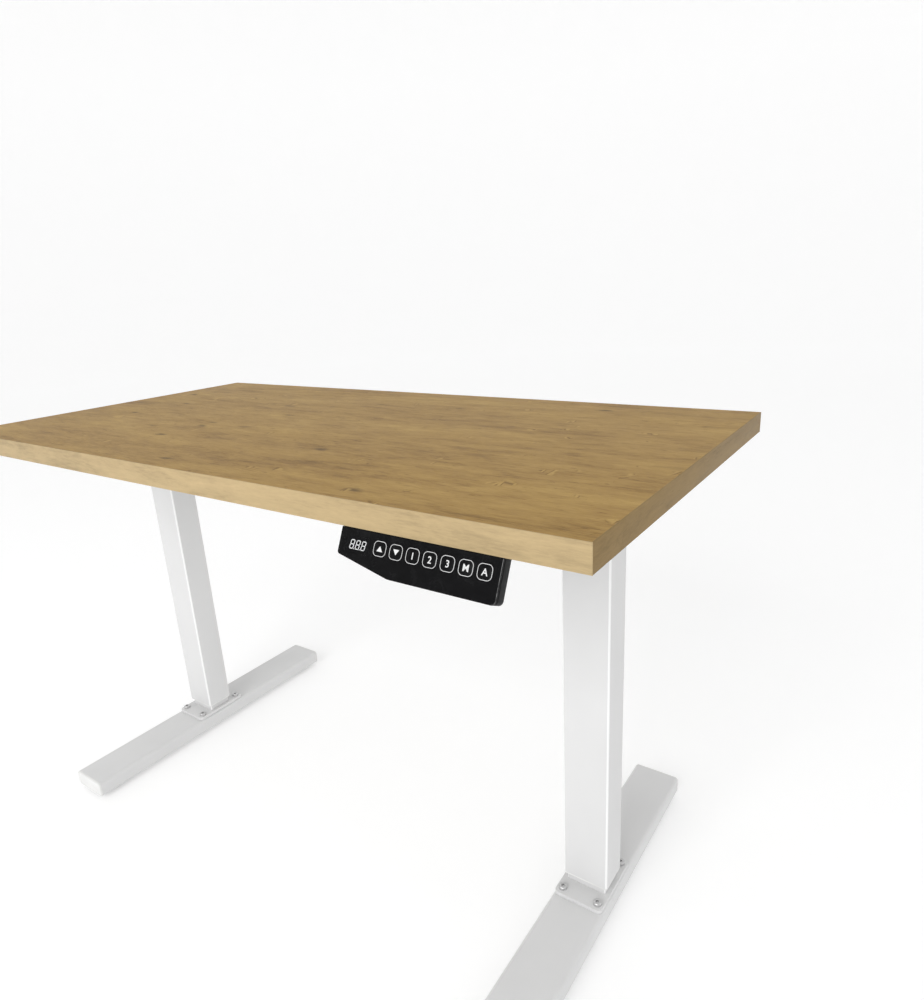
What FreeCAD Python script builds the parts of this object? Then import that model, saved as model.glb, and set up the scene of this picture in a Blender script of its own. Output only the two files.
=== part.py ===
import FreeCAD, Part

import math
import os
import re

import Sketcher

# Height adjustable standing desk, in millimetres: +X to the right end of the top, +Y to the back
# and +Z up. The origin is on the floor, under the middle of the desk's outline. The desk stands at
# its lowest height.

SIZES = {
    # table top
    "board_length": 1200, "board_depth": 600, "board_thick": 30, "band_thick": 1,
    "desk_height": 720,
    # columns: outer tubes hang from the top, inner tubes stand on the feet
    "column_inset": 132.2, "outer_wide": 70, "outer_deep": 54, "outer_wall": 2, "outer_round": 4,
    "outer_end": 58, "glide_gap": 2, "inner_wall": 2, "head_room": 16,
    "collar_tall": 40, "collar_lip": 2, "collar_play": 0.2,
    "glide_tall": 60, "glide_play": 0.1, "glide_drop": 5, "glide_inset": 10,
    # feet
    "foot_long": 580, "foot_rim": 5, "foot_tall": 30, "foot_wall": 2.5, "foot_round": 6,
    "cap_thick": 4, "cap_plug": 20, "plate_thick": 6, "plate_long": 112, "plate_round": 8,
    "plate_inset": 2, "plate_bolt_x": 28, "plate_bolt_y": 44, "plate_bolt_thick": 8,
    "plate_bolt_long": 16, "pad_wide": 40, "pad_tall": 8, "pad_slope": 3, "pad_inset": 36,
    "stud_thick": 8, "stud_long": 22,
    # steel frame under the top
    "rubber_thick": 2, "rubber_wide": 20, "sheet_thick": 2.5,
    "bracket_long": 490, "bracket_gap": 3.5, "bracket_lip": 22, "bracket_tip": 8, "bracket_taper": 150,
    "bar_wide": 30, "bar_tall": 20, "bar_spread": 140, "bar_wall": 2, "bar_end": 4,
    "bar_bolt_thick": 6, "bar_bolt_long": 12,
    # bolt heads, as shares of the bolt's thickness: radius, low head's height, socket's radius
    "head_ratio": 0.8, "low_head_ratio": 0.6, "socket_ratio": 0.35,
    # gear case on each column
    "case_rim": 10, "case_tall": 46, "case_round": 6, "cover_thick": 3.5, "case_floor": 14,
    "case_end_wall": 6, "case_bolt_out": 4.5, "case_bolt_thick": 6, "chamber_gap": 1.5, "neck_gap": 1,
    "bearing_wide": 32, "bearing_tall": 10, "wheel_radius": 16, "wheel_tall": 14, "wheel_teeth": 15,
    "tooth_deep": 2.5, "tooth_gap_root": 1.8, "tooth_gap_mouth": 3.8,
    "worm_radius": 5, "worm_long": 32, "worm_gap": 0.3, "worm_room": 1, "worm_level": 23,
    "worm_pitch": 4, "thread_deep": 1.6, "shaft_end_gap": 0.5, "shaft_reach": 25,
    # where the worm's crest ends and its root starts and ends, as shares of the pitch
    "crest_end": 0.3, "root_start": 0.5, "root_end": 0.7,
    "motor_radius": 18, "motor_long": 84, "motor_notch_gap": 4, "motor_cap_rim": 6,
    "motor_cap_tall": 5, "flange_thick": 5, "flange_rim": 2, "flange_round": 4,
    "shaft_radius": 4, "journal_radius": 3,
    "spindle_radius": 8, "neck_radius": 6, "neck_over": 3, "spindle_clear": 16, "run_gap": 0.05,
    "nut_radius": 14, "nut_long": 25, "nut_flange_radius": 19, "nut_flange_tall": 4,
    "carrier_tall": 20,
    # wood screws, and their distances from the ends or edges of what they hold
    "screw_thick": 4, "screw_head": 9, "screw_head_tall": 2.5, "screw_bite": 12,
    "end_screw": 25, "inner_screw": 110, "handset_screw_side": 19.8, "handset_screw_back": 10,
    # control box
    "box_long": 240, "box_deep": 96, "box_base_tall": 14, "box_cover_tall": 24, "box_wall": 2.5,
    "box_round": 6, "box_edge_round": 2, "box_from_mid": 115,
    "ear_wide": 18, "ear_deep": 20, "ear_thick": 3,
    "inlet_wide": 28, "inlet_tall": 20, "inlet_deep": 18, "inlet_wall": 2.5,
    "pin_wide": 2, "pin_tall": 4, "pin_recess": 5, "pin_pitch": 7, "pin_drop": 1, "earth_pin_drop": 3,
    "jack_wide": 15, "jack_tall": 13, "jack_deep": 16, "jack_wall": 1.8, "jack_pitch": 22,
    "circuit_thick": 1.6, "circuit_drop": 4, "circuit_end_gap": 25, "circuit_side_gap": 7,
    "core_long": 50, "core_deep": 44, "core_tall": 16, "core_x": 45,
    "relay_long": 18, "relay_deep": 15, "relay_tall": 12, "relay_x": 10, "relay_y": 18,
    "relay_pitch": 26, "post_end_gap": 34, "post_side_gap": 16,
    # handset
    "handset_wide": 198, "handset_drop": 43.8, "handset_left_drop": 28.8, "handset_slant": 71.5,
    "handset_inset": 85, "handset_tilt": 25, "handset_thick": 15, "fascia_thick": 2,
    "handset_wall": 2, "handset_round": 5, "handset_left_round": 3.5, "slant_round": 30,
    "handset_flange": 45, "flange_sheet": 3,
    "key_apart": 3.73, "key_high": 16.4, "key_round": 5.2, "key_from_end": 17.3, "display_room": 55.12,
    "key_drop": 15.6, "key_gap": 0.3, "key_travel": 0.4, "key_slack": 0.1, "key_rim": 0.9,
    "key_rim_thick": 1, "key_stem": 4, "lens_wide": 34, "lens_high": 17, "lens_from_end": 25,
    "lens_drop": 16.5, "lens_thick": 1.5, "lens_round": 2, "module_side_gap": 2, "module_top_gap": 1,
    "handset_board_depth": 7, "handset_board_high": 21, "handset_board_drop": 4.5,
    "handset_board_gap": 5, "switch_wide": 6, "switch_tall": 1.2, "post_radius": 2.5,
    "handset_post_gap": 12, "handset_post_drop": 8,
    "socket_from_lens": 30, "socket_drop": 9, "socket_proud": 5,
    # how far a cutting outline runs past what it cuts
    "overcut": 1,
}

SIDES = {"left": -1, "right": 1}
KEYS = ["up", "down", "1", "2", "3", "memory", "alarm"]

# Places and sizes that follow from the ones above.
LINKS = {
    "reach": "handset_drop * sin(handset_tilt)",
    "mid_y": "reach / 2",
    "front_y": "mid_y - board_depth / 2",
    "underside": "desk_height - board_thick",
    "web_top": "underside - rubber_thick",
    "web_low": "web_top - sheet_thick",
    "case_top": "web_low - cover_thick",
    "case_low": "case_top - case_tall",
    "case_long": "outer_wide + 2 * case_rim",
    "case_deep": "outer_deep + 2 * case_rim",
    "case_bolt_x": "outer_wide / 2 + case_bolt_out",
    "case_bolt_y": "outer_deep / 2 + case_bolt_out",
    "case_bolt_long": "case_tall + cover_thick + sheet_thick",
    "column_x": "board_length / 2 - column_inset",
    "inner_wide": "outer_wide - 2 * outer_wall - 2 * glide_gap",
    "inner_deep": "outer_deep - 2 * outer_wall - 2 * glide_gap",
    "inner_round": "outer_round - outer_wall / 2",
    "inner_top": "case_low - head_room",
    "foot_wide": "outer_wide + 2 * foot_rim",
    "foot_top": "pad_tall + foot_tall",
    "plate_top": "foot_top + plate_thick",
    "worm_y": "wheel_radius + worm_radius + worm_gap",
    "wheel_low": "worm_level - wheel_tall / 2",
    "flange_wide": "2 * (motor_radius + flange_rim)",
    "bracket_wide": "case_long + 2 * bracket_gap",
    "bar_y": "bar_spread / 2",
    "bar_span": "2 * column_x - bracket_wide",
    "bar_bolt_drop": "(bar_tall + bar_wall) / 2",
    "box_y": "mid_y + box_from_mid + box_deep / 2",
    "box_base_low": "underside - box_base_tall",
    "box_low": "box_base_low - box_cover_tall",
    "circuit_low": "box_base_low + circuit_drop",
    "handset_x": "board_length / 2 - handset_inset - handset_wide / 2",
    "key_pitch": f"(handset_wide - key_from_end - display_room) / {len(KEYS) - 1}",
    "key_wide": "key_pitch - key_apart",
    "cap_depth": "fascia_thick + key_slack",
    "lens_x": "lens_from_end - handset_wide / 2",
    "socket_x": "lens_x + socket_from_lens",
    "socket_y": "handset_board_drop + socket_drop",
}

WORD = re.compile(r"[a-z][a-z_0-9]*")

doc = FreeCAD.newDocument("standing_desk")
sheet = doc.addObject("Spreadsheet::Sheet", "Sizes")
for row, (alias, size) in enumerate(SIZES.items(), start=1):
    sheet.set(f"A{row}", alias.replace("_", " "))
    sheet.set(f"B{row}", str(size))
    sheet.setAlias(f"B{row}", alias)
doc.recompute()

nodes = []


# ---- formulas and placing ----------------------------------------------------------------------

def spelled(formula):
    """The formula with each size read from its cell and each link written out."""
    def swap(match):
        word = match.group(0)
        if word in SIZES:
            return "Sizes." + word
        return "(" + spelled(LINKS[word]) + ")" if word in LINKS else word
    return WORD.sub(swap, str(formula))


def number(formula):
    return float(sheet.evalExpression(spelled(formula)))


def bind(thing, prop, formula):
    thing.setExpression(prop, spelled(formula))


def place(thing, x=0, y=0, z=0, axis=None, turn=0):
    """Binds the place of a sub-part's own origin, turned about an axis."""
    if axis:
        thing.Placement = FreeCAD.Placement(
            FreeCAD.Vector(), FreeCAD.Rotation(FreeCAD.Vector(axis), number(turn)))
        bind(thing, "Placement.Rotation.Angle", turn)
    for letter, formula in zip("xyz", (x, y, z)):
        bind(thing, f"Placement.Base.{letter}", formula)
    return thing


def at_column(thing, side, z):
    """Stands a piece on a column's axis. The right column is the left one turned half round."""
    turn = {"axis": (0, 0, 1), "turn": 180} if side == "right" else {}
    return place(thing, x=f"{SIDES[side]} * column_x", y="mid_y", z=z, **turn)


def on_handset(thing):
    """Lays a piece in the plane of the handset's face: its x runs right, y up and z outwards."""
    return place(thing, x="handset_x", y="front_y", z="underside",
                 axis=(1, 0, 0), turn="90 - handset_tilt")


def node(thing, label):
    thing.Label = label
    nodes.append(thing)
    return thing


# ---- primitives --------------------------------------------------------------------------------

def block(name, size, middle=(0, 0), bottom=0):
    """A box with its middle over a point."""
    box = doc.addObject("Part::Box", name)
    for prop, formula in zip(("Length", "Width", "Height"), size):
        bind(box, prop, formula)
    return place(box, x=f"({middle[0]}) - ({size[0]}) / 2", y=f"({middle[1]}) - ({size[1]}) / 2",
                 z=bottom)


def rod(name, radius, length, at=(0, 0, 0), along=(0, 0, 1)):
    """A round rod that starts at a point."""
    bar = doc.addObject("Part::Cylinder", name)
    bind(bar, "Radius", radius)
    bind(bar, "Height", length)
    if along == (0, 0, 1):
        return place(bar, *at)
    turn = FreeCAD.Rotation(FreeCAD.Vector(0, 0, 1), FreeCAD.Vector(along))
    return place(bar, *at, axis=tuple(turn.Axis), turn=math.degrees(turn.Angle))


def cut(name, base, tool):
    cutting = doc.addObject("Part::Cut", name)
    cutting.Base, cutting.Tool = base, tool
    return cutting


def together(name, pieces):
    """One object of several pieces: they join where they meet and stay apart where they don't."""
    joined = doc.addObject("Part::MultiFuse", name)
    joined.Shapes = pieces
    return joined


# ---- sketches and features ---------------------------------------------------------------------

def sketch_on(body, plane, name, offset=None):
    """A sketch on one of the body's own origin planes, lifted by a bound offset."""
    sketch = body.newObject("Sketcher::SketchObject", name)
    origin_plane = [f for f in body.Origin.OriginFeatures if f.Role == plane + "_Plane"][0]
    sketch.AttachmentSupport = [(origin_plane, "")]
    sketch.MapMode = "FlatFace"
    if offset is not None:
        bind(sketch, "AttachmentOffset.Base.z", offset)
    return sketch


def fix(sketch, kind, *where, formula):
    """Adds a constraint whose value is bound to a formula."""
    index = sketch.addConstraint(Sketcher.Constraint(kind, *where, number(formula)))
    bind(sketch, f"Constraints[{index}]", formula)


def pin_point(sketch, line, end, x, y):
    """Holds a line's end point at a bound place."""
    for kind, formula in (("DistanceX", x), ("DistanceY", y)):
        if abs(number(formula)) < 1e-9:
            axis = -2 if kind == "DistanceX" else -1
            sketch.addConstraint(Sketcher.Constraint("PointOnObject", line, end, axis))
        else:
            fix(sketch, kind, -1, 1, line, end, formula=formula)


def draw_outline(sketch, points):
    """A closed outline of straight lines through bound points."""
    spots = [FreeCAD.Vector(number(x), number(y), 0) for x, y in points]
    first = sketch.GeometryCount
    count = len(points)
    for i in range(count):
        sketch.addGeometry(Part.LineSegment(spots[i], spots[(i + 1) % count]), False)
    for i in range(count):
        following = first + (i + 1) % count
        sketch.addConstraint(Sketcher.Constraint("Coincident", first + i, 2, following, 1))
        pin_point(sketch, first + i, 1, *points[i])


def draw_rectangle(sketch, wide, high, x="0", y="0"):
    left, right = f"({x}) - ({wide}) / 2", f"({x}) + ({wide}) / 2"
    low, top = f"({y}) - ({high}) / 2", f"({y}) + ({high}) / 2"
    draw_outline(sketch, [(left, low), (right, low), (right, top), (left, top)])


def draw_rounded(sketch, wide, high, radius, x="0", y="0"):
    """A rectangle with round corners about a bound middle."""
    cx, cy, round_size = number(x), number(y), number(radius)
    half_w, half_h = number(wide) / 2, number(high) / 2
    corners = [(cx + half_w, cy - half_h), (cx + half_w, cy + half_h),
               (cx - half_w, cy + half_h), (cx - half_w, cy - half_h)]
    ways = [(1, 0), (0, 1), (-1, 0), (0, -1)]
    first = sketch.GeometryCount
    for i, (px, py) in enumerate(corners):
        qx, qy = corners[i - 1]
        ux, uy = ways[i]
        start = FreeCAD.Vector(qx + ux * round_size, qy + uy * round_size, 0)
        end = FreeCAD.Vector(px - ux * round_size, py - uy * round_size, 0)
        sketch.addGeometry(Part.LineSegment(start, end), False)
        middle = FreeCAD.Vector(end.x - uy * round_size, end.y + ux * round_size, 0)
        circle = Part.Circle(middle, FreeCAD.Vector(0, 0, 1), round_size)
        begin = math.radians(90 * i - 90)
        sketch.addGeometry(Part.ArcOfCircle(circle, begin, begin + math.pi / 2), False)
    lines = [first + 2 * i for i in range(4)]
    arcs = [first + 2 * i + 1 for i in range(4)]
    for i in range(4):
        sketch.addConstraint(Sketcher.Constraint("Tangent", lines[i], 2, arcs[i], 1))
        sketch.addConstraint(Sketcher.Constraint("Tangent", arcs[i], 2, lines[(i + 1) % 4], 1))
        kind = "Horizontal" if i % 2 == 0 else "Vertical"
        sketch.addConstraint(Sketcher.Constraint(kind, lines[i]))
    for arc in arcs[1:]:
        sketch.addConstraint(Sketcher.Constraint("Equal", arcs[0], arc))
    fix(sketch, "Radius", arcs[0], formula=radius)
    fix(sketch, "DistanceX", lines[3], 1, lines[1], 1, formula=wide)
    fix(sketch, "DistanceY", lines[0], 1, lines[2], 1, formula=high)
    for kind, formula, line in (("DistanceX", f"({x}) + ({wide}) / 2", lines[1]),
                                ("DistanceY", f"({y}) + ({high}) / 2", lines[2])):
        fix(sketch, kind, -1, 1, line, 1, formula=formula)


def draw_circle(sketch, radius, x="0", y="0"):
    middle = FreeCAD.Vector(number(x), number(y), 0)
    ring = sketch.addGeometry(Part.Circle(middle, FreeCAD.Vector(0, 0, 1), number(radius)), False)
    fix(sketch, "Radius", ring, formula=radius)
    pin_point(sketch, ring, 3, x, y)


def pad(body, sketch, length, name, both_ways=False, reverse=False):
    feature = body.newObject("PartDesign::Pad", name)
    feature.Profile = sketch
    bind(feature, "Length", length)
    feature.Midplane = both_ways
    feature.Reversed = reverse
    doc.recompute()
    return feature


def pocket(body, sketch, name, length=None, both_ways=False, reverse=False):
    """Cuts the sketch out of the body, and stops the build if nothing went."""
    before = body.Shape.Volume
    feature = body.newObject("PartDesign::Pocket", name)
    feature.Profile = sketch
    feature.Midplane = both_ways
    feature.Reversed = reverse
    if length is None:
        feature.Type = 1
    else:
        bind(feature, "Length", length)
    doc.recompute()
    if body.Shape.Volume > before - 1e-3:
        raise RuntimeError(f"{body.Name}.{name} cuts nothing")
    return feature


def revolve(body, sketch, name):
    """Turns a half profile, drawn in the XZ plane, once round the Z axis."""
    feature = body.newObject("PartDesign::Revolution", name)
    feature.Profile = sketch
    feature.ReferenceAxis = (sketch, ["V_Axis"])
    feature.Angle = 360
    doc.recompute()
    return feature


def fillet(body, name, radius, wanted):
    """Rounds every edge for which wanted(edge) is true."""
    base = body.Tip
    names = [f"Edge{i}" for i, edge in enumerate(base.Shape.Edges, start=1) if wanted(edge)]
    if not names:
        raise RuntimeError(f"{body.Name}.{name} finds no edge")
    feature = body.newObject("PartDesign::Fillet", name)
    feature.Base = (base, names)
    bind(feature, "Radius", radius)
    doc.recompute()
    return feature


def new_body(name):
    body = doc.addObject("PartDesign::Body", name)
    body.AllowCompound = True
    return body


# ---- the table top -----------------------------------------------------------------------------

# Wood screws: x, y, the level of the metal or plastic that the head clamps, and its thickness.
def bracket_screws():
    spots = []
    for sign in SIDES.values():
        for shift in ("end_screw - bracket_long / 2", "inner_screw - bracket_long / 2",
                      "bracket_long / 2 - inner_screw", "bracket_long / 2 - end_screw"):
            spots.append((f"{sign} * column_x", f"mid_y + ({shift})", "web_low", "sheet_thick"))
    return spots


def bar_screws():
    return [(f"{x_sign} * bar_span / 4", f"mid_y + {y_sign} * bar_y", "web_top - bar_wall", "bar_wall")
            for x_sign in (-1, 1) for y_sign in (-1, 1)]


def box_screws():
    return [(f"{x_sign} * (box_long / 2 - ear_wide)", f"box_y + {y_sign} * (box_deep + ear_deep) / 2",
             "underside - ear_thick", "ear_thick")
            for x_sign in (-1, 1) for y_sign in (-1, 1)]


def handset_screws():
    return [(f"handset_x + {sign} * (handset_wide / 2 - handset_screw_side)",
             "front_y + handset_flange - handset_screw_back",
             "underside - flange_sheet", "flange_sheet") for sign in (-1, 1)]


def board():
    """The particle board core, with a pilot hole for every wood screw."""
    body = new_body("Board")
    outline = sketch_on(body, "XY", "BoardOutline")
    draw_rectangle(outline, "board_length - 2 * band_thick", "board_depth - 2 * band_thick")
    pad(body, outline, "board_thick", "BoardPad")
    holes = sketch_on(body, "XY", "PilotHoles")
    for x, y, _, _ in bracket_screws() + bar_screws() + box_screws() + handset_screws():
        draw_circle(holes, "screw_thick / 2", x, f"({y}) - mid_y")
    pocket(body, holes, "PilotHolesCut", "screw_bite", reverse=True)
    place(body, y="mid_y", z="underside")
    node(body, "desktop_board")


def edge_bands():
    """Strips of laminate along the four edges. The long ones run past the short ones."""
    for side, sign in (("front", -1), ("back", 1)):
        strip = block(f"Band_{side}", ("board_length", "band_thick", "board_thick"),
                      (0, f"mid_y + {sign} * (board_depth - band_thick) / 2"), "underside")
        node(strip, f"edge_band_{side}")
    for side, sign in SIDES.items():
        strip = block(f"Band_{side}", ("band_thick", "board_depth - 2 * band_thick", "board_thick"),
                      (f"{sign} * (board_length - band_thick) / 2", "mid_y"), "underside")
        node(strip, f"edge_band_{side}")


def rubber_pads():
    """Soft washers between the steel frame and the board, round each screw."""
    washers = []
    for i, (x, y, _, _) in enumerate(bracket_screws() + bar_screws()):
        disc = rod(f"Washer{i}", "rubber_wide / 2", "rubber_thick", (x, y, "web_top"))
        hole = rod(f"WasherHole{i}", "screw_thick / 2", "rubber_thick", (x, y, "web_top"))
        washers.append(cut(f"WasherRing{i}", disc, hole))
    node(together("RubberPads", washers), "rubber_pads")


def wood_screws():
    """Pan head screws that hold the frame, the control box and the handset to the board."""
    screws = []
    for i, (x, y, low, _) in enumerate(bracket_screws() + bar_screws() + box_screws() + handset_screws()):
        head = rod(f"ScrewHead{i}", "screw_head / 2", "screw_head_tall", (x, y, f"{low} - screw_head_tall"))
        shank = rod(f"ScrewShank{i}", "screw_thick / 2", f"underside + screw_bite - ({low})", (x, y, low))
        screws.append(together(f"Screw{i}", [head, shank]))
    node(together("WoodScrews", screws), "wood_screws")


# ---- the steel frame ---------------------------------------------------------------------------

def is_along(edge, letter):
    """Whether an edge is straight and runs along one axis."""
    if not isinstance(edge.Curve, Part.Line):
        return False
    return abs(abs(getattr(edge.Curve.Direction, letter)) - 1) < 1e-6


def side_bracket(side):
    """A pressed channel that runs front to back over a column, with tapered lips."""
    body = new_body(f"Bracket_{side}")
    half, thick = "bracket_wide / 2", "sheet_thick"
    profile = sketch_on(body, "XZ", "Channel")
    draw_outline(profile, [
        (f"-({half})", 0), (f"-({half})", "-bracket_lip"), (f"-({half}) + {thick}", "-bracket_lip"),
        (f"-({half}) + {thick}", f"-{thick}"), (f"{half} - {thick}", f"-{thick}"),
        (f"{half} - {thick}", "-bracket_lip"), (half, "-bracket_lip"), (half, 0)])
    pad(body, profile, "bracket_long", "ChannelPad", both_ways=True)
    taper = sketch_on(body, "YZ", "Taper")
    for sign in (-1, 1):
        end = f"{sign} * bracket_long / 2"
        inner = f"{sign} * (bracket_long / 2 - bracket_taper)"
        draw_outline(taper, [(end, "-bracket_tip"), (end, "-bracket_lip - overcut"),
                             (inner, "-bracket_lip - overcut"), (inner, "-bracket_lip")])
    pocket(body, taper, "TaperCut", both_ways=True)
    notch = sketch_on(body, "XY", "MotorNotch")
    draw_rectangle(notch, "sheet_thick", "2 * (motor_radius + motor_notch_gap)",
                   f"{half} - {thick} / 2", "worm_y")
    pocket(body, notch, "MotorNotchCut", "2 * bracket_lip", both_ways=True)
    holes = sketch_on(body, "XY", "WebHoles")
    for _, y, _, _ in bracket_screws()[:4]:
        draw_circle(holes, "screw_thick / 2", 0, f"({y}) - mid_y")
    for x_sign in (-1, 1):
        for y_sign in (-1, 1):
            draw_circle(holes, "case_bolt_thick / 2", f"{x_sign} * case_bolt_x", f"{y_sign} * case_bolt_y")
    pocket(body, holes, "WebHolesCut", "2 * sheet_thick", both_ways=True)
    bar_holes = sketch_on(body, "YZ", "BarHoles")
    for sign in (-1, 1):
        draw_circle(bar_holes, "bar_bolt_thick / 2", f"{sign} * bar_y", "-bar_bolt_drop")
    pocket(body, bar_holes, "BarHolesCut", "bracket_wide", reverse=True)
    at_column(body, side, "web_top")
    node(body, f"side_bracket_{side}")


def crossbar(name, sign):
    """A channel, open below, that joins the two side brackets. Its closed ends take the bolts."""
    body = new_body(f"Crossbar_{name}")
    outline = sketch_on(body, "YZ", "BarOutline")
    draw_rectangle(outline, "bar_wide", "bar_tall", 0, "-bar_tall / 2")
    pad(body, outline, "bar_span", "BarPad", both_ways=True)
    fillet(body, "BarRound", "bar_wall / 2", lambda edge: is_along(edge, "x"))
    hollow = sketch_on(body, "YZ", "BarHollow")
    draw_rectangle(hollow, "bar_wide - 2 * bar_wall", "bar_tall", 0, "-bar_tall / 2 - bar_wall")
    pocket(body, hollow, "BarHollowCut", "bar_span - 2 * bar_end", both_ways=True)
    screw_holes = sketch_on(body, "XY", "BarScrewHoles")
    for x_sign in (-1, 1):
        draw_circle(screw_holes, "screw_thick / 2", f"{x_sign} * bar_span / 4", 0)
    pocket(body, screw_holes, "BarScrewHolesCut", "2 * bar_wall", both_ways=True)
    bolt_holes = sketch_on(body, "YZ", "BarBoltHoles")
    draw_circle(bolt_holes, "bar_bolt_thick / 2", 0, "-bar_bolt_drop")
    pocket(body, bolt_holes, "BarBoltHolesCut", both_ways=True)
    place(body, y=f"mid_y + {sign} * bar_y", z="web_top")
    node(body, f"crossbar_{name}")


def frame_bolts():
    """Machine screws: four up through each gear case, and one through each crossbar's end."""
    bolts = []
    for side, x_sign in SIDES.items():
        for i, (a, b) in enumerate([(-1, -1), (-1, 1), (1, -1), (1, 1)]):
            x, y = f"{x_sign} * column_x + {a} * case_bolt_x", f"mid_y + {b} * case_bolt_y"
            shank = rod(f"CaseBolt_{side}{i}", "case_bolt_thick / 2", "case_bolt_long", (x, y, "case_low"))
            head = rod(f"CaseBoltHead_{side}{i}", "case_bolt_thick * head_ratio", "case_bolt_thick",
                       (x, y, "case_low - case_bolt_thick"))
            bolts.append(together(f"CaseScrew_{side}{i}", [head, shank]))
        for y_sign in (-1, 1):
            tag = f"{side}_{'rear' if y_sign > 0 else 'front'}"
            inner_face = f"{x_sign} * bar_span / 2"
            y, z = f"mid_y + {y_sign} * bar_y", "web_top - bar_bolt_drop"
            shank = rod(f"BarBolt_{tag}", "bar_bolt_thick / 2", "bar_bolt_long",
                        (f"{inner_face} + {x_sign} * sheet_thick", y, z), (-x_sign, 0, 0))
            head = rod(f"BarBoltHead_{tag}", "bar_bolt_thick * head_ratio", "bar_bolt_thick / 2",
                       (f"{inner_face} + {x_sign} * sheet_thick", y, z), (x_sign, 0, 0))
            bolts.append(together(f"BarScrew_{tag}", [head, shank]))
    node(together("FrameBolts", bolts), "frame_bolts")


# ---- gear cases and drives ---------------------------------------------------------------------

def gear_case(side):
    """Cast case at the head of a column: wheel chamber, worm tunnel and bearing seat."""
    body = new_body(f"Case_{side}")
    outline = sketch_on(body, "XY", "CaseOutline")
    draw_rounded(outline, "case_long", "case_deep", "case_round")
    pad(body, outline, "case_tall", "CasePad")
    chamber = sketch_on(body, "XY", "Chamber", offset="case_floor")
    draw_circle(chamber, "wheel_radius + chamber_gap")
    pocket(body, chamber, "ChamberCut", "case_tall - case_floor", reverse=True)
    seat = sketch_on(body, "XY", "BearingSeat")
    draw_circle(seat, "bearing_wide / 2")
    pocket(body, seat, "BearingSeatCut", "bearing_tall", reverse=True)
    neck = sketch_on(body, "XY", "NeckHole")
    draw_circle(neck, "neck_radius + neck_gap")
    pocket(body, neck, "NeckHoleCut", "case_tall", reverse=True)
    bolt_holes = sketch_on(body, "XY", "CaseBoltHoles")
    for x_sign in (-1, 1):
        for y_sign in (-1, 1):
            draw_circle(bolt_holes, "case_bolt_thick / 2", f"{x_sign} * case_bolt_x",
                        f"{y_sign} * case_bolt_y")
    pocket(body, bolt_holes, "CaseBoltHolesCut", "case_tall", reverse=True)
    tunnel = sketch_on(body, "YZ", "WormTunnel", offset="-worm_long / 2 - worm_room")
    draw_circle(tunnel, "worm_radius + worm_room", "worm_y", "worm_level")
    pocket(body, tunnel, "WormTunnelCut", "case_long", reverse=True)
    journal = sketch_on(body, "YZ", "JournalHole", offset="case_end_wall - case_long / 2")
    draw_circle(journal, "journal_radius + run_gap", "worm_y", "worm_level")
    pocket(body, journal, "JournalHoleCut", "case_long / 2", reverse=True)
    at_column(body, side, "case_low")
    node(body, f"gear_case_{side}")


def gear_covers():
    """Flat lids that close the two gear cases."""
    covers = []
    for side, sign in SIDES.items():
        plate = block(f"CoverPlate_{side}", ("case_long", "case_deep", "cover_thick"),
                      (f"{sign} * column_x", "mid_y"), "case_top")
        for i, (a, b) in enumerate([(-1, -1), (-1, 1), (1, -1), (1, 1)]):
            hole = rod(f"CoverHole_{side}{i}", "case_bolt_thick / 2", "cover_thick",
                       (f"{sign} * column_x + {a} * case_bolt_x", f"mid_y + {b} * case_bolt_y", "case_top"))
            plate = cut(f"Cover_{side}{i}", plate, hole)
        covers.append(plate)
    node(together("GearCovers", covers), "gear_covers")


def spindle_bearings():
    """Ball bearings that carry the spindles, each drawn as a solid ring with a running bore."""
    rings = []
    for side, sign in SIDES.items():
        spot = (f"{sign} * column_x", "mid_y", "case_low")
        outer = rod(f"BearingOuter_{side}", "bearing_wide / 2", "bearing_tall", spot)
        bore = rod(f"BearingBore_{side}", "neck_radius + run_gap", "bearing_tall", spot)
        rings.append(cut(f"BearingRing_{side}", outer, bore))
    node(together("SpindleBearings", rings), "spindle_bearings")


def spindle(side):
    """The lifting screw. Its shoulder bears up on the bearing, and its neck carries the wheel."""
    body = new_body(f"Spindle_{side}")
    profile = sketch_on(body, "XZ", "SpindleProfile")
    low = "outer_end + spindle_clear - case_low"
    top = "worm_level + wheel_tall / 2 + neck_over"
    draw_outline(profile, [(0, low), ("spindle_radius", low), ("spindle_radius", "-run_gap * 2"),
                           ("neck_radius", "-run_gap * 2"), ("neck_radius", top), (0, top)])
    revolve(body, profile, "SpindleTurn")
    at_column(body, side, "case_low")
    node(body, f"spindle_{side}")


def worm_wheel(side):
    """The toothed wheel on the spindle's neck."""
    body = new_body(f"Wheel_{side}")
    outline = sketch_on(body, "XY", "WheelOutline")
    draw_circle(outline, "wheel_radius")
    pad(body, outline, "wheel_tall", "WheelPad")
    bore = sketch_on(body, "XY", "WheelBore")
    draw_circle(bore, "neck_radius")
    pocket(body, bore, "WheelBoreCut", "wheel_tall", reverse=True)
    gap = sketch_on(body, "XY", "ToothGap")
    root, outside = "wheel_radius - tooth_deep", "wheel_radius + overcut"
    draw_outline(gap, [(root, "-tooth_gap_root / 2"), (outside, "-tooth_gap_mouth / 2"),
                       (outside, "tooth_gap_mouth / 2"), (root, "tooth_gap_root / 2")])
    first = pocket(body, gap, "ToothGapCut", "wheel_tall", reverse=True)
    pattern = body.newObject("PartDesign::PolarPattern", "Teeth")
    pattern.Originals = [first]
    axis = [f for f in body.Origin.OriginFeatures if f.Role == "Z_Axis"][0]
    pattern.Axis = (axis, [""])
    pattern.Angle = 360
    bind(pattern, "Occurrences", "wheel_teeth")
    body.Tip = pattern
    doc.recompute()
    at_column(body, side, "case_low + wheel_low")
    node(body, f"worm_wheel_{side}")


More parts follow.
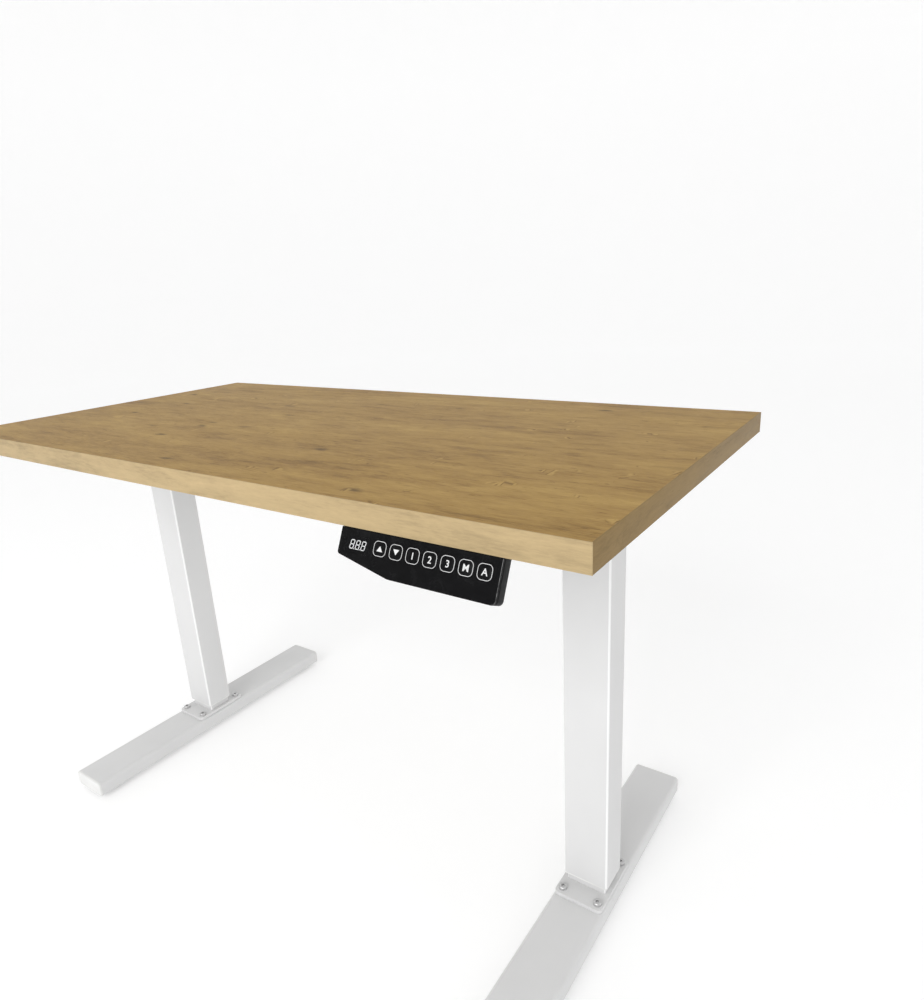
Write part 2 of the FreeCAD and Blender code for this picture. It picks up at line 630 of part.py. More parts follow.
def worm_shaft(side):
    """Motor shaft with the worm's grooves turned in it. Its own Z axis is the shaft's axis."""
    body = new_body(f"Worm_{side}")
    profile = sketch_on(body, "XZ", "WormProfile")
    start = "case_end_wall + shaft_end_gap - case_long / 2"
    end = "case_long / 2 + flange_thick + shaft_reach"
    points = [(0, start), ("journal_radius", start), ("journal_radius", "-worm_long / 2")]
    turns = int(number("worm_long / worm_pitch"))
    for i in range(turns):
        low = f"-worm_long / 2 + {i} * worm_pitch"
        points += [("worm_radius", low), ("worm_radius", f"{low} + worm_pitch * crest_end"),
                   ("worm_radius - thread_deep", f"{low} + worm_pitch * root_start"),
                   ("worm_radius - thread_deep", f"{low} + worm_pitch * root_end")]
    points += [("shaft_radius", "worm_long / 2"), ("shaft_radius", end), (0, end)]
    draw_outline(profile, points)
    revolve(body, profile, "WormTurn")
    sign = SIDES[side]
    place(body, x=f"{sign} * column_x", y=f"mid_y - {sign} * worm_y", z="case_low + worm_level",
          axis=(0, 1, 0), turn=90 if side == "left" else -90)
    node(body, f"worm_shaft_{side}")


def motor(side):
    """Gear motor on the inboard face of the gear case: flange, can and rear cap."""
    body = new_body(f"Motor_{side}")
    flange = sketch_on(body, "YZ", "MotorFlange")
    draw_rounded(flange, "flange_wide", "flange_wide", "flange_round")
    pad(body, flange, "flange_thick", "FlangePad")
    can = sketch_on(body, "YZ", "MotorCan")
    draw_circle(can, "motor_radius")
    pad(body, can, "flange_thick + motor_long", "CanPad")
    cap = sketch_on(body, "YZ", "MotorCap")
    draw_circle(cap, "motor_radius - motor_cap_rim")
    pad(body, cap, "flange_thick + motor_long + motor_cap_tall", "CapPad")
    bore = sketch_on(body, "YZ", "MotorBore")
    draw_circle(bore, "shaft_radius + run_gap")
    pocket(body, bore, "MotorBoreCut", "flange_thick + shaft_reach + overcut", reverse=True)
    sign = SIDES[side]
    turn = {"axis": (0, 0, 1), "turn": 180} if side == "right" else {}
    place(body, x=f"{sign} * (column_x - case_long / 2)", y=f"mid_y - {sign} * worm_y",
          z="case_low + worm_level", **turn)
    node(body, f"motor_{side}")


# ---- columns -----------------------------------------------------------------------------------

def tube(name, label, side, wide, deep, radius, wall, low, high):
    """A rectangular tube with round corners that stands on a column's axis."""
    body = new_body(name)
    profile = sketch_on(body, "XY", "TubeProfile")
    draw_rounded(profile, wide, deep, radius)
    draw_rounded(profile, f"({wide}) - 2 * ({wall})", f"({deep}) - 2 * ({wall})",
                 f"({radius}) - ({wall})")
    pad(body, profile, f"({high}) - ({low})", "TubePad")
    at_column(body, side, low)
    node(body, label)


def outer_tube(side):
    tube(f"Outer_{side}", f"outer_tube_{side}", side, "outer_wide", "outer_deep", "outer_round",
         "outer_wall", "outer_end", "case_low")


def inner_tube(side):
    tube(f"Inner_{side}", f"inner_tube_{side}", side, "inner_wide", "inner_deep", "inner_round",
         "inner_wall", "plate_top", "inner_top")


def guide_collars():
    """Plastic collars in the mouths of the outer tubes, with a lip below."""
    collars = []
    for side in SIDES:
        body = new_body(f"Collar_{side}")
        sleeve = sketch_on(body, "XY", "Sleeve")
        draw_rounded(sleeve, "outer_wide - 2 * outer_wall", "outer_deep - 2 * outer_wall",
                     "outer_round - outer_wall")
        pad(body, sleeve, "collar_tall + collar_lip", "SleevePad")
        lip = sketch_on(body, "XY", "Lip")
        draw_rounded(lip, "outer_wide", "outer_deep", "outer_round")
        pad(body, lip, "collar_lip", "LipPad")
        hole = sketch_on(body, "XY", "CollarHole")
        draw_rounded(hole, "inner_wide + 2 * collar_play", "inner_deep + 2 * collar_play",
                     "inner_round + collar_play")
        pocket(body, hole, "CollarHoleCut", "collar_tall + 2 * collar_lip", reverse=True)
        at_column(body, side, "outer_end - collar_lip")
        collars.append(body)
    node(together("GuideCollars", collars), "guide_collars")


def glide_pads():
    """Plastic pads round the tops of the inner tubes, which run inside the outer tubes."""
    pads = []
    thick, low = "glide_gap - glide_play", "inner_top - glide_tall - glide_drop"
    for side, sign in SIDES.items():
        for way in (-1, 1):
            tag = f"{side}_{'plus' if way > 0 else 'minus'}"
            x = f"{sign} * column_x + {way} * (inner_wide + {thick}) / 2"
            pads.append(block(f"GlideX_{tag}", (thick, "inner_deep - 2 * glide_inset", "glide_tall"),
                              (x, "mid_y"), low))
            y = f"mid_y + {way} * (inner_deep + {thick}) / 2"
            pads.append(block(f"GlideY_{tag}", ("inner_wide - 2 * glide_inset", thick, "glide_tall"),
                              (f"{sign} * column_x", y), low))
    node(together("GlidePads", pads), "glide_pads")


def nut_carriers():
    """Plugs in the tops of the inner tubes, bored for the spindle nuts."""
    carriers = []
    for side in SIDES:
        body = new_body(f"Carrier_{side}")
        outline = sketch_on(body, "XY", "CarrierOutline")
        draw_rounded(outline, "inner_wide - 2 * inner_wall", "inner_deep - 2 * inner_wall",
                     "inner_round - inner_wall")
        draw_circle(outline, "nut_radius")
        pad(body, outline, "carrier_tall", "CarrierPad")
        at_column(body, side, "inner_top - carrier_tall")
        carriers.append(body)
    node(together("NutCarriers", carriers), "nut_carriers")


def spindle_nuts():
    """Flanged nuts on the spindles. The thread is left out, so the bore is a running fit."""
    nuts = []
    for side in SIDES:
        body = new_body(f"Nut_{side}")
        profile = sketch_on(body, "XZ", "NutProfile")
        inside = "spindle_radius + run_gap"
        draw_outline(profile, [(inside, "-nut_long"), ("nut_radius", "-nut_long"), ("nut_radius", 0),
                               ("nut_flange_radius", 0), ("nut_flange_radius", "nut_flange_tall"),
                               (inside, "nut_flange_tall")])
        revolve(body, profile, "NutTurn")
        at_column(body, side, "inner_top")
        nuts.append(body)
    node(together("SpindleNuts", nuts), "spindle_nuts")


# ---- feet --------------------------------------------------------------------------------------

def foot(side):
    """A rectangular tube from front to back, with bolt holes above and stud holes below."""
    body = new_body(f"Foot_{side}")
    profile = sketch_on(body, "XZ", "FootProfile")
    draw_rounded(profile, "foot_wide", "foot_tall", "foot_round", 0, "foot_tall / 2")
    draw_rounded(profile, "foot_wide - 2 * foot_wall", "foot_tall - 2 * foot_wall",
                 "foot_round - foot_wall", 0, "foot_tall / 2")
    pad(body, profile, "foot_long - 2 * cap_thick", "FootPad", both_ways=True)
    bolt_holes = sketch_on(body, "XY", "FootBoltHoles", offset="foot_tall")
    for x_sign in (-1, 1):
        for y_sign in (-1, 1):
            draw_circle(bolt_holes, "plate_bolt_thick / 2", f"{x_sign} * plate_bolt_x",
                        f"{y_sign} * plate_bolt_y")
    pocket(body, bolt_holes, "FootBoltHolesCut", "2 * foot_wall")
    stud_holes = sketch_on(body, "XY", "StudHoles")
    for sign in (-1, 1):
        draw_circle(stud_holes, "stud_thick / 2 + run_gap", 0, f"{sign} * (foot_long / 2 - pad_inset)")
    pocket(body, stud_holes, "StudHolesCut", "2 * foot_wall", reverse=True)
    at_column(body, side, "pad_tall")
    node(body, f"foot_{side}")


def foot_caps():
    """Plastic plugs that close the four ends of the feet."""
    caps = []
    for side, x_sign in SIDES.items():
        for end, y_sign in (("front", -1), ("back", 1)):
            body = new_body(f"Cap_{side}_{end}")
            face = sketch_on(body, "XZ", "CapFace")
            draw_rounded(face, "foot_wide", "foot_tall", "foot_round", 0, "foot_tall / 2")
            pad(body, face, "cap_thick", "CapPad")
            rim = number("cap_thick")
            fillet(body, "CapRound", "cap_thick / 2",
                   lambda edge: all(abs(v.Point.y + rim) < 1e-6 for v in edge.Vertexes))
            plug = sketch_on(body, "XZ", "CapPlug")
            draw_rounded(plug, "foot_wide - 2 * foot_wall", "foot_tall - 2 * foot_wall",
                         "foot_round - foot_wall", 0, "foot_tall / 2")
            pad(body, plug, "cap_plug", "PlugPad", reverse=True)
            turn = {"axis": (0, 0, 1), "turn": 180} if y_sign > 0 else {}
            place(body, x=f"{x_sign} * column_x", z="pad_tall",
                  y=f"mid_y + {y_sign} * (foot_long / 2 - cap_thick)", **turn)
            caps.append(body)
    node(together("FootCaps", caps), "foot_caps")


def base_plates():
    """Plates welded under the inner tubes and bolted to the feet."""
    plates = []
    for side in SIDES:
        body = new_body(f"Plate_{side}")
        outline = sketch_on(body, "XY", "PlateOutline")
        draw_rounded(outline, "foot_wide - 2 * plate_inset", "plate_long", "plate_round")
        for x_sign in (-1, 1):
            for y_sign in (-1, 1):
                draw_circle(outline, "plate_bolt_thick / 2", f"{x_sign} * plate_bolt_x",
                            f"{y_sign} * plate_bolt_y")
        pad(body, outline, "plate_thick", "PlatePad")
        at_column(body, side, "foot_top")
        plates.append(body)
    node(together("BasePlates", plates), "base_plates")


def foot_bolts():
    """Socket head screws through the base plates into the feet."""
    bolts = []
    for side, sign in SIDES.items():
        for i, (a, b) in enumerate([(-1, -1), (-1, 1), (1, -1), (1, 1)]):
            x, y = f"{sign} * column_x + {a} * plate_bolt_x", f"mid_y + {b} * plate_bolt_y"
            shank = rod(f"FootBolt_{side}{i}", "plate_bolt_thick / 2", "plate_bolt_long",
                        (x, y, "plate_top - plate_bolt_long"))
            head_tall = "plate_bolt_thick * low_head_ratio"
            head = rod(f"FootBoltHead_{side}{i}", "plate_bolt_thick * head_ratio", head_tall,
                       (x, y, "plate_top"))
            socket = rod(f"FootBoltSocket_{side}{i}", "plate_bolt_thick * socket_ratio", head_tall,
                         (x, y, f"plate_top + {head_tall} / 2"))
            whole = together(f"FootScrewBlank_{side}{i}", [shank, head])
            bolts.append(cut(f"FootScrew_{side}{i}", whole, socket))
    node(together("FootBolts", bolts), "foot_bolts")


def leveller(side, end, y_sign):
    """An adjustable pad on a threaded stud under one end of a foot."""
    x, y = f"{SIDES[side]} * column_x", f"mid_y + {y_sign} * (foot_long / 2 - pad_inset)"
    tag = f"{side}_{end}"
    disc = doc.addObject("Part::Cone", f"LevelPad_{tag}")
    bind(disc, "Radius1", "pad_wide / 2")
    bind(disc, "Radius2", "pad_wide / 2 - pad_slope")
    bind(disc, "Height", "pad_tall")
    place(disc, x, y, 0)
    stud = rod(f"LevelStud_{tag}", "stud_thick / 2", "stud_long", (x, y, "pad_tall"))
    node(together(f"Leveller_{tag}", [disc, stud]), f"leveller_{tag}")


# ---- control box -------------------------------------------------------------------------------

def box_base():
    """The half of the control box that is screwed to the board, open below, with four ears."""
    body = new_body("BoxBase")
    outline = sketch_on(body, "XY", "BaseOutline")
    draw_rounded(outline, "box_long", "box_deep", "box_round")
    pad(body, outline, "box_base_tall", "BasePad")
    ears = sketch_on(body, "XY", "Ears", offset="box_base_tall - ear_thick")
    for x_sign in (-1, 1):
        draw_rectangle(ears, "ear_wide", "box_deep + 2 * ear_deep", f"{x_sign} * (box_long / 2 - ear_wide)")
    pad(body, ears, "ear_thick", "EarPad")
    hollow = sketch_on(body, "XY", "BaseHollow")
    draw_rounded(hollow, "box_long - 2 * box_wall", "box_deep - 2 * box_wall", "box_round - box_wall")
    pocket(body, hollow, "BaseHollowCut", "box_base_tall - box_wall", reverse=True)
    holes = sketch_on(body, "XY", "EarHoles")
    for x, y, _, _ in box_screws():
        draw_circle(holes, "screw_thick / 2", x, f"({y}) - box_y")
    pocket(body, holes, "EarHolesCut", "box_base_tall", reverse=True)
    place(body, y="box_y", z="box_base_low")
    node(body, "control_box_base")


def box_cover():
    """The lower half of the control box, with cut-outs for the mains inlet and the sockets."""
    body = new_body("BoxCover")
    outline = sketch_on(body, "XY", "CoverOutline")
    draw_rounded(outline, "box_long", "box_deep", "box_round")
    pad(body, outline, "box_cover_tall", "CoverPad")
    fillet(body, "CoverRound", "box_edge_round",
           lambda edge: all(abs(v.Point.z) < 1e-6 for v in edge.Vertexes))
    hollow = sketch_on(body, "XY", "CoverHollow", offset="box_wall")
    draw_rounded(hollow, "box_long - 2 * box_wall", "box_deep - 2 * box_wall", "box_round - box_wall")
    pocket(body, hollow, "CoverHollowCut", "box_cover_tall", reverse=True)
    inlet = sketch_on(body, "YZ", "InletHole", offset="-box_long / 2")
    draw_rectangle(inlet, "inlet_wide", "inlet_tall", 0, "box_wall + inlet_tall / 2")
    pocket(body, inlet, "InletHoleCut", "2 * box_wall", reverse=True)
    jacks = sketch_on(body, "YZ", "JackHoles", offset="box_long / 2")
    for i in (-1, 0, 1):
        draw_rectangle(jacks, "jack_wide", "jack_tall", f"{i} * jack_pitch", "box_wall + jack_tall / 2")
    pocket(body, jacks, "JackHolesCut", "2 * box_wall")
    place(body, y="box_y", z="box_low")
    node(body, "control_box_cover")


def box_circuit():
    """The control board: a circuit board with its transformer and relays, hung in the base."""
    plate = block("CircuitPlate", ("box_long - 2 * circuit_end_gap", "box_deep - 2 * circuit_side_gap",
                                   "circuit_thick"), (0, "box_y"), "circuit_low")
    core = block("Transformer", ("core_long", "core_deep", "core_tall"), ("-core_x", "box_y"),
                 "circuit_low - core_tall")
    relays = [block(f"Relay{i}", ("relay_long", "relay_deep", "relay_tall"),
                    (f"relay_x + {i} * relay_pitch", "box_y + relay_y"), "circuit_low - relay_tall")
              for i in range(2)]
    posts = [rod(f"CircuitPost{i}", "post_radius",
                 "box_base_tall - box_wall - circuit_drop - circuit_thick",
                 (f"{a} * (box_long / 2 - post_end_gap)", f"box_y + {b} * (box_deep / 2 - post_side_gap)",
                  "circuit_low + circuit_thick"))
             for i, (a, b) in enumerate([(-1, -1), (-1, 1), (1, -1), (1, 1)])]
    node(together("ControlCircuit", [plate, core] + relays + posts), "control_circuit_board")


def mains_inlet():
    """Three pin appliance inlet at the left end of the control box."""
    y, low = "box_y", "box_low + box_wall"
    mouth = "-box_long / 2"
    shell = block("InletShell", ("inlet_deep", "inlet_wide", "inlet_tall"),
                  (f"{mouth} + inlet_deep / 2", y), low)
    hollow = block("InletHollow", ("inlet_deep - inlet_wall", "inlet_wide - 2 * inlet_wall",
                                   "inlet_tall - 2 * inlet_wall"),
                   (f"{mouth} + (inlet_deep - inlet_wall) / 2", y), f"{low} + inlet_wall")
    shell = cut("InletCut", shell, hollow)
    pin_long = "(inlet_deep - inlet_wall - pin_recess)"
    pins = [block(f"InletPin{i}", (pin_long, "pin_wide", "pin_tall"),
                  (f"{mouth} + pin_recess + {pin_long} / 2", f"{y} + {i} * pin_pitch"),
                  f"{low} + inlet_tall / 2 - {'pin_drop' if i else 'earth_pin_drop'}") for i in (-1, 0, 1)]
    node(together("MainsInlet", [shell] + pins), "mains_inlet")


def control_sockets():
    """Three sockets at the right end of the control box: two motors and the handset."""
    shells = []
    low = "box_low + box_wall"
    for i in (-1, 0, 1):
        y = f"box_y + {i} * jack_pitch"
        shell = block(f"JackShell{i + 1}", ("jack_deep", "jack_wide", "jack_tall"),
                      ("box_long / 2 - jack_deep / 2", y), low)
        hollow = block(f"JackHollow{i + 1}", ("jack_deep - jack_wall", "jack_wide - 2 * jack_wall",
                                              "jack_tall - 2 * jack_wall"),
                       ("box_long / 2 - (jack_deep - jack_wall) / 2", y), f"{low} + jack_wall")
        shells.append(cut(f"Jack{i + 1}", shell, hollow))
    node(together("ControlSockets", shells), "control_sockets")


# ---- handset -----------------------------------------------------------------------------------

def key_x(i):
    """Middle of a key, counted from the left: the alarm key is the last, at the right."""
    return f"handset_wide / 2 - key_from_end - {len(KEYS) - 1 - i} * key_pitch"


def handset_outline(top="0", inset="0"):
    """The face's outline: a low left end, a slanted run and a deeper right part."""
    right, deep = f"handset_wide / 2 - ({inset})", f"-handset_drop + ({inset})"
    slope = "(handset_drop - handset_left_drop) / handset_slant"
    shift = f"({inset}) * (sqrt(1 + ({slope}) ^ 2) - ({slope}))"
    return [(f"-({right})", f"-({top})"), (f"-({right})", f"-handset_left_drop + {shift}"),
            (f"-handset_wide / 2 + handset_slant + ({inset}) * (sqrt(1 + ({slope}) ^ 2) - 1) / ({slope})",
             deep),
            (right, deep), (right, f"-({top})")]


def near(edge, x, y):
    """Whether an edge runs along Z through a place."""
    point = edge.Vertexes[0].Point
    return is_along(edge, "z") and abs(point.x - number(x)) < 0.01 and abs(point.y - number(y)) < 0.01


def round_handset(body, points):
    """Rounds the lower corners of a plate of the face's outline."""
    for name, index, radius in (("LeftRound", 1, "handset_left_round"), ("SlantRound", 2, "slant_round"),
                                ("RightRound", 3, "handset_round")):
        fillet(body, name, radius, lambda edge: near(edge, *points[index]))


def fascia():
    """The flat front plate, with a window for each key and for the display lens."""
    body = new_body("Fascia")
    points = handset_outline()
    outline = sketch_on(body, "XY", "FasciaOutline")
    draw_outline(outline, points)
    pad(body, outline, "fascia_thick", "FasciaPad", reverse=True)
    round_handset(body, points)
    windows = sketch_on(body, "XY", "KeyWindows")
    for i in range(len(KEYS)):
        draw_rounded(windows, "key_wide + 2 * key_gap", "key_high + 2 * key_gap", "key_round + key_gap",
                     key_x(i), "-key_drop")
    pocket(body, windows, "KeyWindowsCut", "2 * fascia_thick")
    lens = sketch_on(body, "XY", "LensWindow")
    draw_rounded(lens, "lens_wide", "lens_high", "lens_round", "lens_x", "-lens_drop")
    pocket(body, lens, "LensWindowCut", "lens_thick")
    on_handset(body)
    node(body, "handset_fascia")


def slanted(out, up):
    """A point given by its depth under the board and behind the front edge, as y and z of the
    face's own frame."""
    tilt = "handset_tilt"
    return (f"({out}) * sin({tilt}) + ({up}) * cos({tilt})", f"({up}) * sin({tilt}) - ({out}) * cos({tilt})")


def housing():
    """The rear shell: side walls, back, and the flange that is screwed under the board."""
    body = new_body("Housing")
    points = handset_outline()
    outline = sketch_on(body, "XY", "HousingOutline", offset="-fascia_thick")
    draw_outline(outline, points)
    pad(body, outline, "handset_thick - fascia_thick", "HousingPad", reverse=True)
    round_handset(body, points)
    roof = sketch_on(body, "YZ", "Roof")
    back, sheet = "handset_thick", "-flange_sheet"
    under = f"(({back}) + ({sheet}) * sin(handset_tilt)) / cos(handset_tilt)"
    draw_outline(roof, [("0", "-fascia_thick"), slanted("fascia_thick / cos(handset_tilt)", 0),
                        slanted("handset_flange", 0), slanted("handset_flange", sheet),
                        slanted(under, sheet), ("0", f"-({back})")])
    pad(body, roof, "handset_wide", "RoofPad", both_ways=True)
    hollow = sketch_on(body, "XY", "HousingHollow", offset="-fascia_thick")
    draw_outline(hollow, handset_outline("handset_wall", "handset_wall"))
    pocket(body, hollow, "HousingHollowCut", "handset_thick - fascia_thick - handset_wall")
    socket = sketch_on(body, "XY", "SocketHole", offset="-handset_thick")
    draw_rectangle(socket, "jack_wide", "jack_tall", "socket_x", "-socket_y")
    pocket(body, socket, "SocketHoleCut", "2 * handset_wall", reverse=True)
    level, post_y = "-handset_thick + handset_wall", "-handset_board_drop - handset_post_drop"
    posts = sketch_on(body, "XY", "Posts", offset=level)
    for x_sign in (-1, 1):
        draw_circle(posts, "post_radius", f"{x_sign} * (handset_wide / 2 - handset_post_gap)", post_y)
    draw_circle(posts, "post_radius", 0, post_y)
    pad(body, posts, "handset_thick - handset_wall - handset_board_depth - circuit_thick", "PostPad")
    on_handset(body)
    flange_holes = [rod(f"FlangeHole{i}", "screw_thick / 2", "3 * flange_sheet",
                        (x, y, "underside - 2 * flange_sheet"))
                    for i, (x, y, _, _) in enumerate(handset_screws())]
    node(cut("HousingDrilled", body, together("FlangeHoles", flange_holes)), "handset_housing")


def handset_circuit():
    """Circuit board behind the keys, with a switch for each."""
    body = new_body("HandsetCircuit")
    outline = sketch_on(body, "XY", "CircuitOutline", offset="-handset_board_depth")
    draw_rectangle(outline, "handset_wide - 2 * handset_board_gap", "handset_board_high", 0,
                   "-handset_board_drop - handset_board_high / 2")
    pad(body, outline, "circuit_thick", "CircuitPad", reverse=True)
    switches = sketch_on(body, "XY", "Switches", offset="-handset_board_depth")
    for i in range(len(KEYS)):
        draw_rectangle(switches, "switch_wide", "switch_wide", key_x(i), "-key_drop")
    pad(body, switches, "switch_tall", "SwitchPad")
    on_handset(body)
    node(body, "handset_circuit_board")


def display():
    """Dark lens in the fascia and the digit module behind it."""
    lens = new_body("Lens")
    outline = sketch_on(lens, "XY", "LensOutline")
    draw_rounded(outline, "lens_wide", "lens_high", "lens_round", "lens_x", "-lens_drop")
    pad(lens, outline, "lens_thick", "LensPad", reverse=True)
    on_handset(lens)
    node(lens, "display_lens")
    module = new_body("Module")
    block_outline = sketch_on(module, "XY", "ModuleOutline", offset="-fascia_thick")
    draw_rectangle(block_outline, "lens_wide - 2 * module_side_gap",
                   "lens_high - 2 * module_top_gap", "lens_x", "-lens_drop")
    pad(module, block_outline, "handset_board_depth - fascia_thick", "ModulePad", reverse=True)
    on_handset(module)
    node(module, "display_module")


def handset_socket():
    """Socket in the back of the handset, behind its circuit board."""
    body = new_body("HandsetSocket")
    front = "-handset_board_depth - circuit_thick"
    shell = sketch_on(body, "XY", "SocketShell", offset=front)
    middle = ("socket_x", "-socket_y")
    draw_rectangle(shell, "jack_wide", "jack_tall", *middle)
    pad(body, shell, f"handset_thick + ({front}) + socket_proud", "ShellPad", reverse=True)
    hollow = sketch_on(body, "XY", "SocketHollow", offset="-handset_thick - socket_proud")
    draw_rectangle(hollow, "jack_wide - 2 * jack_wall", "jack_tall - 2 * jack_wall", *middle)
    pocket(body, hollow, "SocketHollowCut",
           f"handset_thick + ({front}) + socket_proud - jack_wall", reverse=True)
    on_handset(body)
    node(body, "handset_socket")


def key(i, name):
    """A key cap, flush with the fascia, with a rim behind it and a stem to its switch."""
    body = new_body(f"Key_{name}")
    cap = sketch_on(body, "XY", "CapOutline")
    draw_rounded(cap, "key_wide", "key_high", "key_round", key_x(i), "-key_drop")
    pad(body, cap, "cap_depth + key_rim_thick", "CapPad", reverse=True)
    rim = sketch_on(body, "XY", "RimOutline", offset="-cap_depth")
    draw_rounded(rim, "key_wide + 2 * key_rim", "key_high + 2 * key_rim", "key_round + key_rim",
                 key_x(i), "-key_drop")
    pad(body, rim, "key_rim_thick", "RimPad", reverse=True)
    stem = sketch_on(body, "XY", "StemOutline", offset="-cap_depth - key_rim_thick")
    draw_circle(stem, "key_stem / 2", key_x(i), "-key_drop")
    pad(body, stem, "handset_board_depth - switch_tall - key_travel - key_slack "
        "- cap_depth - key_rim_thick", "StemPad", reverse=True)
    on_handset(body)
    node(body, f"key_{name}")


# ---- assembly and export -----------------------------------------------------------------------

def build():
    board()
    edge_bands()
    rubber_pads()
    wood_screws()
    for side in SIDES:
        side_bracket(side)
        gear_case(side)
        motor(side)
        outer_tube(side)
        spindle(side)
        worm_wheel(side)
        worm_shaft(side)
        inner_tube(side)
        foot(side)
        for end, y_sign in (("front", -1), ("back", 1)):
            leveller(side, end, y_sign)
    crossbar("front", -1)
    crossbar("rear", 1)
    frame_bolts()
    gear_covers()
    spindle_bearings()
    guide_collars()
    glide_pads()
    nut_carriers()
    spindle_nuts()
    foot_caps()
    base_plates()
    foot_bolts()
    box_base()
    box_cover()
    box_circuit()
    mains_inlet()
    control_sockets()
    fascia()
    housing()
    handset_circuit()
    display()
    handset_socket()
    for i, name in enumerate(KEYS):
        key(i, name)


def export():
    """Stops if any object failed, then writes one STEP file for each node."""
    doc.recompute()
    for thing in doc.Objects:
        if {"Invalid", "Error"} & set(thing.State):
            raise RuntimeError(f"{thing.Name} failed: {thing.State}")
    for thing in nodes:
        if thing.Shape.isNull() or not thing.Shape.isValid():
            raise RuntimeError(f"{thing.Label} has no valid shape")
    os.makedirs("parts", exist_ok=True)
    for thing in nodes:
        thing.Shape.exportStep(f"parts/{thing.Label}.step")
        print(f"{thing.Label}: {len(thing.Shape.Solids)} solids, {thing.Shape.Volume:.0f} mm3")


build()
export()
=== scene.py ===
import math

import bmesh
import bpy
from bpy.props import FloatProperty, FloatVectorProperty, IntProperty, PointerProperty
from mathutils import Matrix, Vector


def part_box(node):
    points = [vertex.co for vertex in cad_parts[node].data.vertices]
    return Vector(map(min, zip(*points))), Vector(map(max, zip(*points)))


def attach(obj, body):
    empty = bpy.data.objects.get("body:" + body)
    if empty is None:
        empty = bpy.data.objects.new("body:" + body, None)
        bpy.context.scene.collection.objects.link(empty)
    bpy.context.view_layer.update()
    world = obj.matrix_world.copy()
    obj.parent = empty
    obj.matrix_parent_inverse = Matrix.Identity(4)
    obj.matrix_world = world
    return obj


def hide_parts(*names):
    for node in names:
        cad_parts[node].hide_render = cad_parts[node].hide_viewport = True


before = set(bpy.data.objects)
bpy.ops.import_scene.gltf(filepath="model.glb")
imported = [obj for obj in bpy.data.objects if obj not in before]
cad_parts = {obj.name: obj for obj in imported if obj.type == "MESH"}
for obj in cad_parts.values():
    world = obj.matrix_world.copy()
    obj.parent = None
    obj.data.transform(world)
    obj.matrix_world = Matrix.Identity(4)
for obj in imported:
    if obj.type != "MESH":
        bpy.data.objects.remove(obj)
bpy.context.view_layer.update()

bl_info = {
    "name": "Standing Desk Looks",
    "version": (1, 0, 0),
    "blender": (4, 5, 0),
    "location": "3D View > Sidebar > Desk",
    "description": "Builds the finished surfaces of a height adjustable desk on its CAD frame",
    "category": "Object",
}

MM = 0.001
SIDES = {"left": -1, "right": 1}
KEYS = ["up", "down", "1", "2", "3", "memory", "alarm"]


# ---- sizes and colours that a user would change -------------------------------------------------

def colour(name, text, value):
    return FloatVectorProperty(name=name, description=text, default=value, size=3, min=0.0, max=1.0,
                               subtype="COLOR")


def length(name, text, value):
    return FloatProperty(name=name, description=text, default=value, min=0.0, unit="LENGTH",
                         subtype="DISTANCE", precision=5)


class DeskTopSettings(bpy.types.PropertyGroup):
    """The laminate top and its edge strips."""
    top_middle: colour("Top", "Main tone of the top's laminate", (0.332, 0.199, 0.050))
    top_dark: colour("Top streaks", "Dark streaks in the top's laminate", (0.160, 0.082, 0.014))
    top_light: colour("Top light", "Pale streaks in the top's laminate", (0.460, 0.300, 0.085))
    # The long strips' tone is a lit copy and the short strips' tone a shaded copy of one strip oak: painted
    # light and shade, the short strips darker where they turn from the front light.
    long_strip_lit_tone: colour("Front strip", "Main tone of the long edge strips", (0.455, 0.342, 0.186))
    short_strip_shaded_tone: colour("End strip", "Main tone of the short edge strips", (0.255, 0.172, 0.072))
    strip_round: length("Strip rounding", "Radius of the edge strips' outer edges", 0.0008)
    seam: length("Seam", "Width of the fine groove between the top and its strips", 0.0002)


class DeskFrameSettings(bpy.types.PropertyGroup):
    """The painted columns, feet and fittings."""
    coat: colour("Coat", "Powder coat of the columns and feet", (0.69, 0.69, 0.69))
    # Painted highlight: the tubes' corner faces take a lighter, glossier copy of the coat.
    corner_highlight_tone: colour("Corner coat", "Thinner, brighter coat along the tubes' corners", (0.90, 0.90, 0.90))
    tube_round: length("Tube corner", "Radius of the outer tubes' corners", 0.004)
    tube_wall: length("Tube wall", "Wall of the column tubes", 0.002)
    corner_steps: IntProperty(name="Corner steps", description="Faces round each tube corner",
                              default=8, min=2, max=24)


class DeskHandsetSettings(bpy.types.PropertyGroup):
    """The keypad under the front edge."""
    face: colour("Face", "Gloss black of the keypad's face", (0.003, 0.003, 0.0034))
    mark: colour("Marks", "Printed outlines and characters on the keys", (0.74, 0.74, 0.74))
    line: length("Line", "Width of the printed outlines", 0.00052)
    print_height: length("Print height", "How far the print stands off the face", 0.00004)


class DeskStageSettings(bpy.types.PropertyGroup):
    """The floor, the lights and the camera."""
    floor: colour("Floor", "Tone of the plain floor", (0.80, 0.80, 0.80))
    floor_glow: FloatProperty(name="Floor glow", description="Light that the backdrop gives off",
                              default=0.33, min=0.0)
    sky: FloatProperty(name="Sky", description="Strength of the even light from above", default=0.70,
                       min=0.0)
    key_power: FloatProperty(name="Key light", description="Power of the large front light",
                             default=66.0, min=0.0, unit="POWER")
    lens: FloatProperty(name="Lens", description="Focal length for a 36 mm frame", default=25.2,
                        unit="CAMERA")


# ---- shader trees -------------------------------------------------------------------------------

